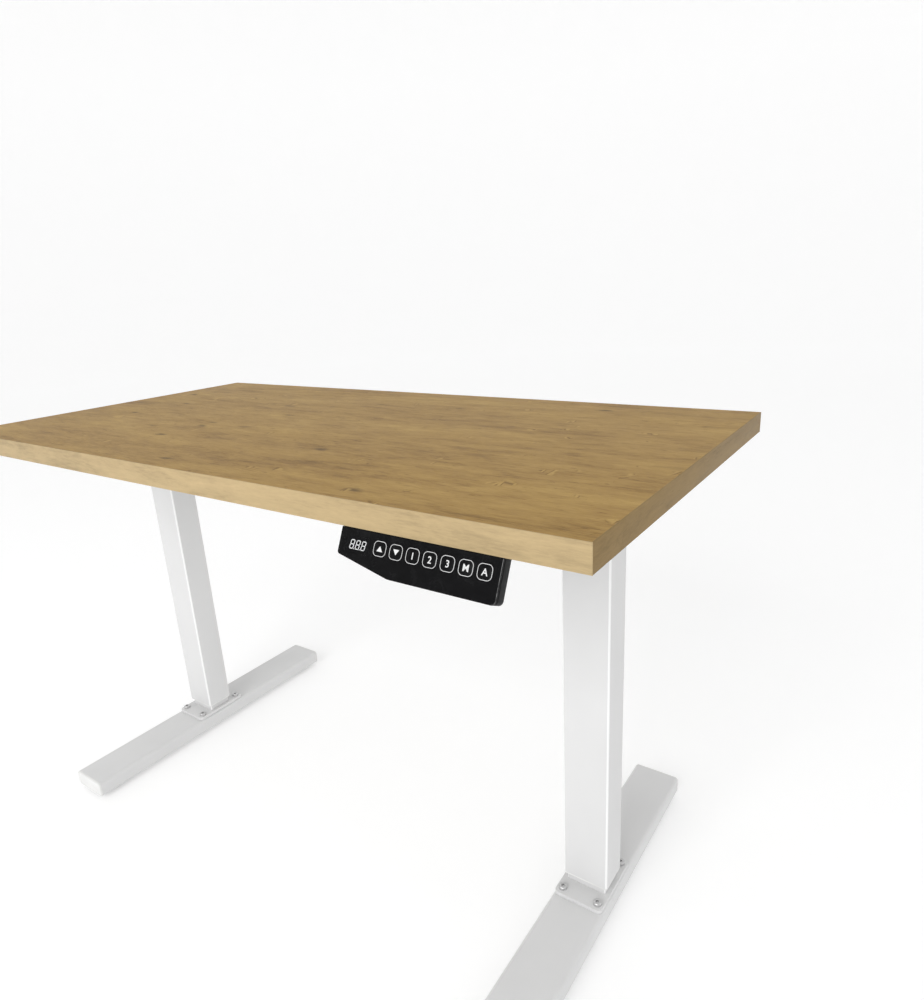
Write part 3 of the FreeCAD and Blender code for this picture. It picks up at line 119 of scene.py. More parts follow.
class Wire:
    """An output of a node, with arithmetic on values written as Python."""

    def __init__(self, nodes, socket):
        self.nodes, self.socket = nodes, socket

    def maths(self, operation, first, second):
        return self.nodes.add("ShaderNodeMath", {"operation": operation}, {0: first, 1: second})

    def __add__(self, other):
        return self.maths("ADD", self, other)

    def __sub__(self, other):
        return self.maths("SUBTRACT", self, other)

    def __rsub__(self, other):
        return self.maths("SUBTRACT", other, self)

    def __mul__(self, other):
        return self.maths("MULTIPLY", self, other)

    def __gt__(self, other):
        return self.maths("GREATER_THAN", self, other)

    __radd__ = __add__
    __rmul__ = __mul__

    def between(self, low, high):
        """0 below low, 1 above high and smooth in between."""
        sockets = {"Value": self, "From Min": low, "From Max": high}
        return self.nodes.add("ShaderNodeMapRange", {"interpolation_type": "SMOOTHSTEP"}, sockets)


class Nodes:
    """A node tree, and the one way to add a node to it."""

    def __init__(self, tree):
        self.tree = tree

    def add(self, kind, settings=None, sockets=None, output=0):
        """Adds any node: its type, its settings, then the values or wires of its sockets.

        A list joins several wires at one socket.
        """
        node = self.tree.nodes.new(kind)
        for name, value in (settings or {}).items():
            if name == "stops":
                self.set_stops(node.color_ramp, value)
            else:
                setattr(node, name, value)
        for name, value in (sockets or {}).items():
            for item in value if isinstance(value, list) else [value]:
                if isinstance(item, Wire):
                    self.tree.links.new(item.socket, node.inputs[name])
                else:
                    node.inputs[name].default_value = item
        return Wire(self, node.outputs[output]) if node.outputs else None

    @staticmethod
    def set_stops(ramp, stops):
        while len(ramp.elements) < len(stops):
            ramp.elements.new(0.5)
        for element, (position, tone) in zip(ramp.elements, stops):
            element.position, element.color = position, (*tone, 1.0)


class Paint(Nodes):
    """One material's node tree."""

    def __init__(self, name):
        self.material = bpy.data.materials.new(name)
        self.material.use_nodes = True
        super().__init__(self.material.node_tree)
        self.tree.nodes.clear()
        self.place = self.add("ShaderNodeTexCoord", output="Object")

    def stretched(self, scale, move=(0, 0, 0), turn=(0, 0, 0), of=None):
        sockets = {"Vector": of or self.place, "Scale": scale, "Location": move, "Rotation": turn}
        return self.add("ShaderNodeMapping", None, sockets)

    def noise(self, vector, detail=3.0, rough=0.5, warp=0.0):
        sockets = {"Vector": vector, "Scale": 1.0, "Detail": detail, "Roughness": rough,
                   "Distortion": warp}
        return self.add("ShaderNodeTexNoise", None, sockets)

    def cells(self, vector, output="Distance", feature="F1"):
        sockets = {"Vector": vector, "Scale": 1.0}
        return self.add("ShaderNodeTexVoronoi", {"feature": feature}, sockets, output)

    def blend(self, factor, first, second):
        """Mixes two colours; either may be a plain tone."""
        wide = [tone if isinstance(tone, Wire) else (*tone, 1.0) for tone in (first, second)]
        return self.add("ShaderNodeMix", {"data_type": "RGBA"}, {0: factor, 6: wide[0], 7: wide[1]},
                        output=2)

    def bump(self, height, depth, strength):
        sockets = {"Height": height, "Distance": depth, "Strength": strength}
        return self.add("ShaderNodeBump", None, sockets)

    def surface(self, **sockets):
        """Ends the tree in a Principled shader. Underscores in names stand for spaces."""
        named = {name.replace("_", " "): value for name, value in sockets.items()}
        shader = self.add("ShaderNodeBsdfPrincipled", None, named)
        self.add("ShaderNodeOutputMaterial", None, {"Surface": shader})
        return self.material


# ---- finishes -----------------------------------------------------------------------------------

def oak(name, middle, dark, light, along="x", contrast=1.0, marks=1.0):
    """Printed oak laminate: soft broken streaks, brown patches, small knots and short cracks."""
    paint = Paint(name)
    turn = (0, 0, 0) if along == "x" else (0, 0, math.radians(90))
    grain = paint.stretched((1, 1, 1), turn=turn)
    sway = paint.noise(paint.stretched((1.6, 6, 6), of=grain), detail=2) - 0.5
    bent = paint.add("ShaderNodeCombineXYZ", None, {"Y": sway * 0.030, "Z": sway * 0.030})
    swaying = paint.add("ShaderNodeVectorMath", {"operation": "ADD"}, {0: grain, 1: bent})
    broad = paint.noise(paint.stretched((3.2, 15, 15), of=swaying), detail=4, rough=0.6)
    streak = paint.noise(paint.stretched((13, 60, 60), of=swaying), detail=5, rough=0.68, warp=0.6)
    fibre = paint.noise(paint.stretched((45, 330, 330), of=swaying), detail=4, rough=0.75)
    tone = broad * 0.34 + streak * 0.34 + fibre * 0.32
    reach = 0.115 / contrast
    stops = [(0.5 - reach, dark), (0.5 - reach * 0.1, middle), (0.5 + reach, light)]
    base = paint.add("ShaderNodeValToRGB", {"stops": stops}, {"Fac": tone})
    patch = paint.noise(paint.stretched((9, 34, 34), move=(7, 3, 0), of=swaying), detail=5, rough=0.66)
    base = paint.blend(patch.between(0.58, 0.74) * (0.50 * marks), base, dark)
    return finish_oak(paint, grain, swaying, base, dark, light, marks)


def finish_oak(paint, grain, swaying, base, dark, light, marks):
    """Adds the knots, cracks, dashes and pores, and the laminate's satin sheen."""
    deep = tuple(tone * 0.50 for tone in dark)
    knot_place = paint.stretched((12, 30, 30), move=(0.3, 0.2, 0), of=swaying)
    ragged = paint.noise(paint.stretched((40, 120, 120), of=swaying), detail=3) - 0.5
    knot = paint.cells(knot_place) + ragged * 0.30
    chosen = paint.cells(knot_place, output="Color")
    rare = paint.add("ShaderNodeSeparateColor", None, {"Color": chosen}, output="Red") > 0.80
    knot_dark = (1.0 - knot.between(0.02, 0.24)) * rare * (0.85 * marks)
    base = paint.blend(knot_dark, base, deep)
    dash = paint.noise(paint.stretched((42, 190, 190), move=(2, 5, 0), of=swaying), detail=3, rough=0.6)
    base = paint.blend(dash.between(0.62, 0.72) * (0.60 * marks), base, dark)
    crack_place = paint.stretched((66, 17, 17), turn=(0, 0, math.radians(12)), of=grain)
    crack = paint.cells(crack_place, feature="DISTANCE_TO_EDGE")
    crack_pick = paint.noise(paint.stretched((24, 34, 34), move=(3, 1, 0), of=grain), detail=1)
    picked = crack_pick.between(0.69, 0.73) * marks
    crack_line = (1.0 - crack.between(0.03, 0.09)) * picked * 0.65
    base = paint.blend(crack_line, base, light)
    shade = crack.between(0.08, 0.12) * (1.0 - crack.between(0.12, 0.20))
    base = paint.blend(shade * picked * 0.8, base, dark)
    pore = paint.noise(paint.stretched((70, 1100, 1100), of=swaying), detail=2, rough=0.6)
    pore = pore.between(0.60, 0.70)
    base = paint.blend(pore * (0.28 * marks), base, dark)
    rough = 0.48 + pore * 0.10 + paint.noise(paint.stretched((3, 9, 9)), detail=2) * 0.05
    relief = paint.bump(pore * -1.0 + crack_line * -0.5, 0.00006, 0.5)
    return paint.surface(Base_Color=base, Roughness=rough, Specular_IOR_Level=0.13, Normal=relief)


def top_oak():
    settings = bpy.context.scene.desk_top
    return oak("top_oak", settings.top_middle[:], settings.top_dark[:], settings.top_light[:],
               contrast=0.66)


def strip_oak(name, middle, along):
    dark = tuple(tone * 0.74 for tone in middle)
    light = tuple(min(1.0, tone * 1.16) for tone in middle)
    return oak(name, middle, dark, light, along=along, contrast=0.8, marks=0.35)


# Lit and shaded copies of one strip oak, for the long and the short strips: painted light and shade.
def front_oak():
    return strip_oak("front_oak", bpy.context.scene.desk_top.long_strip_lit_tone[:], "x")


def end_oak():
    return strip_oak("end_oak", bpy.context.scene.desk_top.short_strip_shaded_tone[:], "y")


def backing():
    """Warm white counter laminate on the underside, with a faint fibre print."""
    paint = Paint("backing")
    cloud = paint.noise(paint.stretched((7, 7, 7)), detail=4)
    thread = paint.noise(paint.stretched((300, 900, 300)), detail=2)
    tone = paint.blend(cloud * 0.6 + thread * 0.4, (0.60, 0.58, 0.54), (0.72, 0.70, 0.66))
    return paint.surface(Base_Color=tone, Roughness=0.55 + cloud * 0.1,
                         Normal=paint.bump(thread, 0.00003, 0.4))


def powder_coat(name="powder_coat", tone=None, rough=0.38):
    """Baked powder paint: a fine orange peel and a very slight change of tone."""
    tone = tone or bpy.context.scene.desk_frame.coat[:]
    paint = Paint(name)
    peel = paint.noise(paint.stretched((900, 900, 900)), detail=2, rough=0.45)
    cloud = paint.noise(paint.stretched((9, 9, 5)), detail=3)
    wear_and_highlight = tuple(part * 0.965 for part in tone)
    base = paint.blend(cloud.between(0.3, 0.75), tone, wear_and_highlight)
    return paint.surface(Base_Color=base, Roughness=rough + peel * 0.10 + cloud * 0.04,
                         Normal=paint.bump(peel, 0.00004, 0.35))


def coat_edge():
    """The same coat, lighter and glossier on a tube's corner faces: a painted highlight where the corner
    catches the light.
    """
    return powder_coat("coat_edge", bpy.context.scene.desk_frame.corner_highlight_tone[:], rough=0.26)


def moulded(name, tone, rough, grain=1400.0, shine=0.4):
    """Moulded plastic with a spark-eroded grain."""
    paint = Paint(name)
    spark = paint.noise(paint.stretched((grain, grain, grain)), detail=3, rough=0.6)
    cloud = paint.noise(paint.stretched((18, 18, 18)), detail=3)
    dust = tuple(min(1.0, part * 1.12 + 0.004) for part in tone)
    base = paint.blend(cloud.between(0.4, 0.8), tone, dust)
    return paint.surface(Base_Color=base, Roughness=rough + spark * 0.12 - cloud * 0.04,
                         Specular_IOR_Level=shine, Normal=paint.bump(spark, 0.00005, 0.6))


def gloss_face():
    """The keypad's polished face, with a trace of dust and finger marks."""
    paint = Paint("gloss_face")
    tone = bpy.context.scene.desk_handset.face[:]
    smear = paint.noise(paint.stretched((55, 38, 38)), detail=4, rough=0.6, warp=0.8).between(0.42, 0.8)
    dust = paint.noise(paint.stretched((2600, 2600, 2600)), detail=1).between(0.72, 0.80)
    base = paint.blend(smear * 0.30 + dust * 0.25, tone, (0.014, 0.014, 0.015))
    return paint.surface(Base_Color=base, Roughness=0.24 + smear * 0.10 + dust * 0.2,
                         Specular_IOR_Level=0.08)


def edge_line():
    """A painted highlight: a lighter line along the keypad face's right edge, where its chamfer catches the
    light, broken up by noise.
    """
    paint = Paint("edge_line")
    # Noise mask for the lighter patches of the painted highlight.
    wear_and_highlight = paint.noise(paint.stretched((600, 140, 140)), detail=3).between(0.38, 0.66)
    return paint.surface(Base_Color=paint.blend(wear_and_highlight, (0.02, 0.02, 0.02), (0.22, 0.22, 0.22)),
                         Roughness=0.4 + wear_and_highlight * 0.1)


def printed():
    """Screen print on the keys."""
    paint = Paint("printed")
    tone = bpy.context.scene.desk_handset.mark[:]
    speck = paint.noise(paint.stretched((4000, 4000, 4000)), detail=2)
    base = paint.blend(speck.between(0.35, 0.75), tone, tuple(part * 0.85 for part in tone))
    return paint.surface(Base_Color=base, Roughness=0.5 + speck * 0.1)


def lit_segment():
    """A lit segment of the display."""
    paint = Paint("lit_segment")
    glow = paint.noise(paint.stretched((1500, 1500, 1500)), detail=1)
    base = paint.blend(glow, (0.55, 0.56, 0.57), (0.66, 0.67, 0.68))
    return paint.surface(Base_Color=base, Roughness=0.45, Emission_Color=base, Emission_Strength=0.12)


def metal(name, tone, rough, brushed=(60, 60, 1200), depth=0.00002):
    """Turned, drawn or cast metal, with its marks along one way."""
    paint = Paint(name)
    line = paint.noise(paint.stretched(brushed), detail=3, rough=0.6)
    cloud = paint.noise(paint.stretched((30, 30, 30)), detail=3)
    dull = tuple(part * 0.78 for part in tone)
    base = paint.blend(cloud.between(0.3, 0.8) * 0.6 + line * 0.25, tone, dull)
    return paint.surface(Base_Color=base, Metallic=1.0, Roughness=rough + line * 0.12 + cloud * 0.08,
                         Normal=paint.bump(line, depth, 0.5))


def circuit():
    """Green solder mask over copper tracks."""
    paint = Paint("circuit")
    tracks = paint.cells(paint.stretched((260, 260, 260)), feature="DISTANCE_TO_EDGE")
    line = 1.0 - tracks.between(0.03, 0.07)
    base = paint.blend(line * 0.7, (0.010, 0.085, 0.030), (0.030, 0.19, 0.075))
    return paint.surface(Base_Color=base, Roughness=0.32 + line * 0.1,
                         Normal=paint.bump(line, 0.00003, 0.6))


FINISHES = {
    # The long strips' oak and the short strips' oak are lit and shaded copies of one strip finish: painted
    # light and shade.
    "top_oak": top_oak, "front_oak": front_oak, "end_oak": end_oak, "backing": backing,
    # The corner coat is a painted highlight on the tubes' corners.
    "powder_coat": powder_coat, "coat_edge": coat_edge, "gloss_face": gloss_face,
    # The edge line is a painted highlight along the keypad face's right edge.
    "edge_line": edge_line, "printed": printed, "lit_segment": lit_segment, "circuit": circuit,
    "black_shell": lambda: moulded("black_shell", (0.0045, 0.0045, 0.0048), rough=0.42, shine=0.10),
    # Near-black patches for the motors' end bell slots: painted shade in the openings.
    "dark_recess": lambda: moulded("dark_recess", (0.008, 0.008, 0.008), rough=0.6),
    "white_plastic": lambda: moulded("white_plastic", (0.74, 0.74, 0.73), rough=0.45),
    "acetal": lambda: moulded("acetal", (0.78, 0.77, 0.73), rough=0.38, grain=500.0),
    "grey_plastic": lambda: moulded("grey_plastic", (0.11, 0.11, 0.115), rough=0.45),
    "rubber": lambda: moulded("rubber", (0.022, 0.022, 0.023), rough=0.72, grain=900.0),
    "zinc": lambda: metal("zinc", (0.66, 0.66, 0.68), 0.30, brushed=(700, 700, 700)),
    "cast_alloy": lambda: metal("cast_alloy", (0.52, 0.53, 0.55), 0.46, brushed=(420, 420, 420),
                                depth=0.00008),
    "steel": lambda: metal("steel", (0.55, 0.55, 0.56), 0.26),
    "bronze": lambda: metal("bronze", (0.60, 0.41, 0.17), 0.32, brushed=(300, 300, 300)),
    "motor_paint": lambda: powder_coat("motor_paint", (0.022, 0.022, 0.024), rough=0.42),
}

# Finish of each node that stays as it is.
NODE_FINISH = {
    "black_shell": ["display_module"],
    "circuit": ["control_circuit_board", "handset_circuit_board"],
    "acetal": ["nut_carriers", "spindle_nuts", "glide_pads"],
    "steel": ["spindle_bearings", "spindle_left", "spindle_right", "worm_shaft_left", "worm_shaft_right"],
    "bronze": ["worm_wheel_left", "worm_wheel_right"],
    "rubber": ["rubber_pads"],
}


def material(name):
    """The finish of that name, made the first time it is asked for."""
    return bpy.data.materials.get(name) or FINISHES[name]()


# ---- mesh helpers -------------------------------------------------------------------------------

def rounded(width, depth, radius, steps, middle=(0.0, 0.0)):
    """Points round a rectangle with round corners, counter-clockwise."""
    points = []
    for i, (sx, sy) in enumerate([(1, 1), (-1, 1), (-1, -1), (1, -1)]):
        cx = middle[0] + sx * (width / 2 - radius)
        cy = middle[1] + sy * (depth / 2 - radius)
        for step in range(steps + 1):
            angle = math.radians(90 * i + 90 * step / steps)
            points.append((cx + radius * math.cos(angle), cy + radius * math.sin(angle)))
    return points


def filleted(points, radii, steps=8):
    """A polygon, given counter-clockwise, with each corner rounded to its radius."""
    result = []
    for i, radius in enumerate(radii):
        before, here, after = (Vector(points[(i + k) % len(points)]) for k in (-1, 0, 1))
        if radius <= 0:
            result.append(tuple(here))
            continue
        back, on = (before - here).normalized(), (after - here).normalized()
        half = back.angle(on) / 2
        centre = here + (back + on).normalized() * (radius / math.sin(half))
        start = here + back * (radius / math.tan(half)) - centre
        end = here + on * (radius / math.tan(half)) - centre
        sweep = start.angle_signed(end)
        for step in range(steps + 1):
            angle = -sweep * step / steps
            spoke = Vector((start.x * math.cos(angle) - start.y * math.sin(angle),
                            start.x * math.sin(angle) + start.y * math.cos(angle)))
            result.append(tuple(centre + spoke))
    return result


def circle(radius, steps, middle=(0.0, 0.0)):
    """Points round a circle, counter-clockwise."""
    return [(middle[0] + radius * math.cos(2 * math.pi * i / steps),
             middle[1] + radius * math.sin(2 * math.pi * i / steps)) for i in range(steps)]


def skin(mesh, loops, material_index=0):
    """Joins a stack of loops of equal length with faces, and closes both ends."""
    rings = [[mesh.verts.new(point) for point in loop] for loop in loops]
    count = len(rings[0])
    faces = []
    for low, high in zip(rings, rings[1:]):
        for i in range(count):
            j = (i + 1) % count
            faces.append(mesh.faces.new((low[i], low[j], high[j], high[i])))
    faces.append(mesh.faces.new(list(reversed(rings[0]))))
    faces.append(mesh.faces.new(rings[-1]))
    for face in faces:
        face.material_index = material_index


def turned(mesh, rings, steps, material_index=0):
    """A turned solid from the radius and height of each of its rings."""
    skin(mesh, [[(x, y, z) for x, y in circle(radius, steps)] for radius, z in rings], material_index)


def prism(mesh, points, low, high, material_index=0):
    """A solid with the same outline from its low end to its high one."""
    skin(mesh, [[(x, y, z) for x, y in points] for z in (low, high)], material_index)


def wall(mesh, outer, inner, low, high, material_index=0):
    """A closed ring between an outer and an inner outline of equal length."""
    rings = [[mesh.verts.new((x, y, z)) for x, y in line]
             for line, z in ((outer, low), (outer, high), (inner, high), (inner, low))]
    rings.append(rings[0])
    count = len(outer)
    for first, second in zip(rings, rings[1:]):
        for i in range(count):
            j = (i + 1) % count
            face = mesh.faces.new((first[i], first[j], second[j], second[i]))
            face.material_index = material_index


def pierced(mesh, outline, holes, low, high):
    """A flat plate with holes through it."""
    edges = []
    for loop in [outline] + holes:
        verts = [mesh.verts.new((x, y, low)) for x, y in loop]
        edges += [mesh.edges.new((verts[i - 1], verts[i])) for i in range(len(verts))]
    filled = bmesh.ops.triangle_fill(mesh, use_beauty=True, use_dissolve=False, edges=edges)
    faces = [item for item in filled["geom"] if isinstance(item, bmesh.types.BMFace)]
    grown = bmesh.ops.extrude_face_region(mesh, geom=faces)
    moved = [item for item in grown["geom"] if isinstance(item, bmesh.types.BMVert)]
    bmesh.ops.translate(mesh, verts=moved, vec=(0, 0, high - low))
    bmesh.ops.recalc_face_normals(mesh, faces=mesh.faces)


# Edges sharper than these are shaded as edges, or rounded off.
CREASE_ANGLE, BEVEL_ANGLE = math.radians(35), math.radians(40)


def piece(name, mesh, finishes, body, nodes=(), place=None, bevel=0.0, steps=3, smooth=True):
    """Ends a mesh as an object at the origin that rides on a body and stands for CAD nodes."""
    if place is not None:
        bmesh.ops.transform(mesh, matrix=place, verts=mesh.verts)
        if place.determinant() < 0:
            bmesh.ops.reverse_faces(mesh, faces=mesh.faces)
    data = bpy.data.meshes.new(name)
    mesh.to_mesh(data)
    mesh.free()
    for finish in finishes:
        data.materials.append(material(finish))
    if smooth:
        data.shade_smooth()
    thing = bpy.data.objects.new(name, data)
    bpy.context.scene.collection.objects.link(thing)
    if bevel > 0:
        edge = thing.modifiers.new("EdgeRounding", "BEVEL")
        edge.width, edge.segments = bevel, steps
        edge.limit_method, edge.angle_limit = "ANGLE", BEVEL_ANGLE
        edge.harden_normals = True
    elif smooth:
        data.set_sharp_from_angle(angle=CREASE_ANGLE)
    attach(thing, body)
    if nodes:
        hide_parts(*nodes)
    return thing


def span(node):
    """A node's middle and size."""
    low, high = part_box(node)
    return (low + high) / 2, high - low


def column_place(side, z):
    """The frame of a column's axis at a height; the right column is turned half round."""
    middle, _ = span(f"outer_tube_{side}")
    place = Matrix.Translation((middle.x, middle.y, z))
    return place @ Matrix.Rotation(math.pi, 4, "Z") if side == "right" else place


# ---- the top ------------------------------------------------------------------------------------

CORNER_CUT = 0.1 * MM


def build_top():
    """The laminated board between its strips, with its underside in counter laminate."""
    middle, size = span("desktop_board")
    mesh = bmesh.new()
    prism(mesh, rounded(size.x, size.y, CORNER_CUT, steps=1), -size.z / 2, size.z / 2)
    mesh.normal_update()
    for face in mesh.faces:
        face.material_index = 1 if face.normal.z < -0.5 else 0
    settings = bpy.context.scene.desk_top
    piece("top_board", mesh, ["top_oak", "backing"], "desktop", ["desktop_board"],
          Matrix.Translation(middle), bevel=settings.seam, steps=1)


def build_strips():
    """Thin edge strips with lightly rounded outer edges."""
    settings = bpy.context.scene.desk_top
    # The long strips take the lit copy and the short strips the shaded copy: painted light and shade.
    for side, finish in (("front", "front_oak"), ("back", "front_oak"),
                         ("left", "end_oak"), ("right", "end_oak")):
        middle, size = span(f"edge_band_{side}")
        mesh = bmesh.new()
        bmesh.ops.create_cube(mesh, size=1.0)
        bmesh.ops.scale(mesh, vec=size, verts=mesh.verts)
        outward = {"front": (0, -1), "back": (0, 1), "left": (-1, 0), "right": (1, 0)}[side]
        outer = [edge for edge in mesh.edges
                 if all(vert.co.x * outward[0] + vert.co.y * outward[1] > 0 for vert in edge.verts)]
        bmesh.ops.bevel(mesh, geom=outer, offset=min(settings.strip_round, 0.9 * min(size)), segments=3,
                        profile=0.5, affect="EDGES")
        piece(f"edge_strip_{side}", mesh, [finish], "desktop", [f"edge_band_{side}"],
              Matrix.Translation(middle))


# ---- columns and feet ---------------------------------------------------------------------------

# Height of the collar's lip under the outer tube, and its play round the inner one.
COLLAR_LIP, COLLAR_PLAY = 2 * MM, 0.2 * MM


def build_columns():
    """Outer and inner tubes with round corners, and the collar in each outer tube's mouth."""
    settings = bpy.context.scene.desk_frame
    steps, wall_thick, outer_round = settings.corner_steps, settings.tube_wall, settings.tube_round
    inner_round = outer_round - wall_thick / 2
    for side in SIDES:
        for name, body, radius in (("outer_tube", "desktop", outer_round),
                                   ("inner_tube", "base", inner_round)):
            _, size = span(f"{name}_{side}")
            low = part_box(f"{name}_{side}")[0][2]
            mesh = bmesh.new()
            outer = rounded(size.x, size.y, radius, steps)
            inner = rounded(size.x - 2 * wall_thick, size.y - 2 * wall_thick, radius - wall_thick, steps)
            wall(mesh, outer, inner, 0.0, size.z)
            mesh.normal_update()
            # The corner faces take the painted highlight coat.
            for face in mesh.faces:
                if abs(face.normal.x) > 0.3 and abs(face.normal.y) > 0.3:
                    face.material_index = 1
            piece(f"{name}_{side}_shell", mesh, ["powder_coat", "coat_edge"], body, [f"{name}_{side}"],
                  column_place(side, low), bevel=0.0003)
    low, high = (corner[2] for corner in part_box("guide_collars"))
    mesh = bmesh.new()
    for side in SIDES:
        middle, outer_size = span(f"outer_tube_{side}")
        _, inner_size = span(f"inner_tube_{side}")
        axis = (middle.x, middle.y)
        hole = rounded(inner_size.x + 2 * COLLAR_PLAY, inner_size.y + 2 * COLLAR_PLAY,
                       inner_round + COLLAR_PLAY, steps, axis)
        lip = rounded(outer_size.x, outer_size.y, outer_round, steps, axis)
        sleeve = rounded(outer_size.x - 2 * wall_thick, outer_size.y - 2 * wall_thick,
                         outer_round - wall_thick, steps, axis)
        wall(mesh, lip, hole, low, low + COLLAR_LIP)
        wall(mesh, sleeve, hole, low + COLLAR_LIP, high)
    piece("guide_collar_pair", mesh, ["white_plastic"], "desktop", ["guide_collars"], bevel=0.0003)


FOOT_ROUND, FOOT_WALL = 6 * MM, 2.5 * MM
PLATE_LONG, PLATE_ROUND, PLATE_INSET = 112 * MM, 8 * MM, 2 * MM
# A cap's outline from the tube to its end: share of its thickness, and how far it draws in.
CAP_STEPS = ((0.0, 0.0), (0.45, 0.0), (0.75, 0.4 * MM), (0.9, 1.1 * MM), (1.0, 2.4 * MM))


def build_feet():
    """Rectangular foot tubes, their end caps and the plates under the columns."""
    steps = bpy.context.scene.desk_frame.corner_steps
    lengthways = Matrix.Rotation(math.radians(90), 4, "X")
    caps = bmesh.new()
    plates = bmesh.new()
    plate_low, plate_high = (corner[2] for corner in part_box("base_plates"))
    for side in SIDES:
        middle, size = span(f"foot_{side}")
        mesh = bmesh.new()
        inside = rounded(size.x - 2 * FOOT_WALL, size.z - 2 * FOOT_WALL, FOOT_ROUND - FOOT_WALL, steps)
        wall(mesh, rounded(size.x, size.z, FOOT_ROUND, steps), inside, -size.y / 2, size.y / 2)
        piece(f"foot_{side}_tube", mesh, ["powder_coat"], "base", [f"foot_{side}"],
              Matrix.Translation(middle) @ lengthways, bevel=0.0002, steps=1)
        cap_low, cap_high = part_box("foot_caps")
        for end, sign in ((cap_low[1], -1), (cap_high[1], 1)):
            inner = sign * size.y / 2 + middle.y
            loops = []
            for reach, shrink in CAP_STEPS:
                y = inner + (end - inner) * reach
                outline = rounded(size.x - 2 * shrink, size.z - 2 * shrink, FOOT_ROUND - shrink, steps)
                outline = outline if sign < 0 else list(reversed(outline))
                loops.append([(middle.x + x, y, middle.z + z) for x, z in outline])
            skin(caps, loops)
        plate = rounded(size.x - 2 * PLATE_INSET, PLATE_LONG, PLATE_ROUND, steps, (middle.x, middle.y))
        prism(plates, plate, plate_low, plate_high)
    bmesh.ops.recalc_face_normals(caps, faces=caps.faces)
    piece("foot_end_caps", caps, ["white_plastic"], "base", ["foot_caps"])
    piece("column_base_plates", plates, ["powder_coat"], "base", ["base_plates"], bevel=0.0008)


# A levelling pad's radius and height at each ring, and its spanner hexagon and stud.
PAD_RINGS = ((0.0185, 0.0), (0.0200, 0.0008), (0.0200, 0.0030), (0.0188, 0.0042), (0.0120, 0.0050),
             (0.0110, 0.0054))
HEXAGON_RADIUS, STUD_START, THREAD_PITCH, CREST, ROOT = 7.8 * MM, 8 * MM, 1.25 * MM, 3.9 * MM, 3.4 * MM


def build_levellers():
    """A turned pad with a hexagon for a spanner, on a threaded stud."""
    for side in SIDES:
        for end in ("front", "back"):
            name = f"leveller_{side}_{end}"
            middle, size = span(name)
            low = middle.z - size.z / 2
            mesh = bmesh.new()
            turned(mesh, PAD_RINGS, 40)
            prism(mesh, circle(HEXAGON_RADIUS, 6), PAD_RINGS[-1][1], STUD_START, 1)
            thread = []
            for i in range(int((size.z - STUD_START) / THREAD_PITCH)):
                start = STUD_START + i * THREAD_PITCH
                thread += [(CREST, start), (ROOT, start + THREAD_PITCH / 2)]
            turned(mesh, thread, 20, 1)
            piece(f"{name}_pad", mesh, ["rubber", "zinc"], name, [name],
                  Matrix.Translation((middle.x, middle.y, low)))


# ---- keypad -------------------------------------------------------------------------------------

# The face leans back by TILT. Drops go down it from the board, and heights stand over it. A key's
# cap fills its window but for the gap, its rim lies behind the face plate and its stem behind that.
TILT = math.radians(25.0)
HANDSET_WIDE, HANDSET_THICK, FASCIA_THICK = 198 * MM, 15 * MM, 2 * MM
HANDSET_DROP, HANDSET_LEFT_DROP, HANDSET_SLANT = 43.8 * MM, 28.8 * MM, 71.5 * MM
HANDSET_ROUND, HANDSET_LEFT_ROUND, SLANT_ROUND = 5 * MM, 3.5 * MM, 30 * MM
FLANGE_DEEP, FLANGE_SHEET = 45 * MM, 3 * MM
KEY_WIDE, KEY_HIGH, KEY_ROUND = 17.2 * MM, 16.4 * MM, 5.2 * MM
KEY_PITCH, KEY_FROM_END, KEY_DROP = 20.93 * MM, 17.3 * MM, 15.6 * MM
KEY_GAP, KEY_RIM, KEY_RIM_TOP, KEY_BACK = 0.3 * MM, 0.9 * MM, -2.1 * MM, -3.1 * MM
STEM_RADIUS, STEM_END = 2 * MM, -5.3 * MM
PRINT_WIDE, PRINT_HIGH, PRINT_ROUND = 16.2 * MM, 15.5 * MM, 5 * MM
MARK_SIZE, ARROW_HALF_HIGH, ARROW_HALF_WIDE = 9.8 * MM, 2.85 * MM, 3.75 * MM
LENS_WIDE, LENS_HIGH, LENS_ROUND, LENS_THICK = 34 * MM, 17 * MM, 2 * MM, 1.5 * MM
LENS_MIDDLE = (HANDSET_WIDE / 2 - 173 * MM, -16.5 * MM)
LENS_SUNK, LENS_PLAY = 0.02 * MM, 0.05 * MM
# The strip that carries the painted highlight along the face's right edge: its two insets, its reach from
# the right end, its back and how far it stands proud.
EDGE_LINE_INSETS, EDGE_LINE_REACH = (0.45 * MM, 0.95 * MM), 7 * MM
EDGE_LINE_BACK, EDGE_LINE_PROUD = -0.1 * MM, 0.02 * MM


def handset_place():
    """The frame of the keypad's face: x to the right, y up the face and z out of it."""
    low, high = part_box("handset_housing")
    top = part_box("desktop_board")[0][2]
    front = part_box("edge_band_front")[0][1]
    place = Matrix.Translation(((low[0] + high[0]) / 2, front, top))
    return place @ Matrix.Rotation(math.pi / 2 - TILT, 4, "X")


def handset_outline(inset=0.0):
    """The keypad's outline, cut low at its left end, or the same drawn in all round but the top."""
    half = HANDSET_WIDE / 2
    slope = (HANDSET_DROP - HANDSET_LEFT_DROP) / HANDSET_SLANT
    rise = math.sqrt(1 + slope * slope)
    low = inset - HANDSET_DROP
    corners = [(half - inset, 0.0), (inset - half, 0.0),
               (inset - half, inset * (rise - slope) - HANDSET_LEFT_DROP),
               (HANDSET_SLANT - half + inset * (rise - 1) / slope, low), (half - inset, low)]
    radii = [0.0, 0.0, HANDSET_LEFT_ROUND - inset, SLANT_ROUND, HANDSET_ROUND - inset]
    return filleted(corners, radii)


def key_middle(i):
    return HANDSET_WIDE / 2 - KEY_FROM_END - (len(KEYS) - 1 - i) * KEY_PITCH, -KEY_DROP


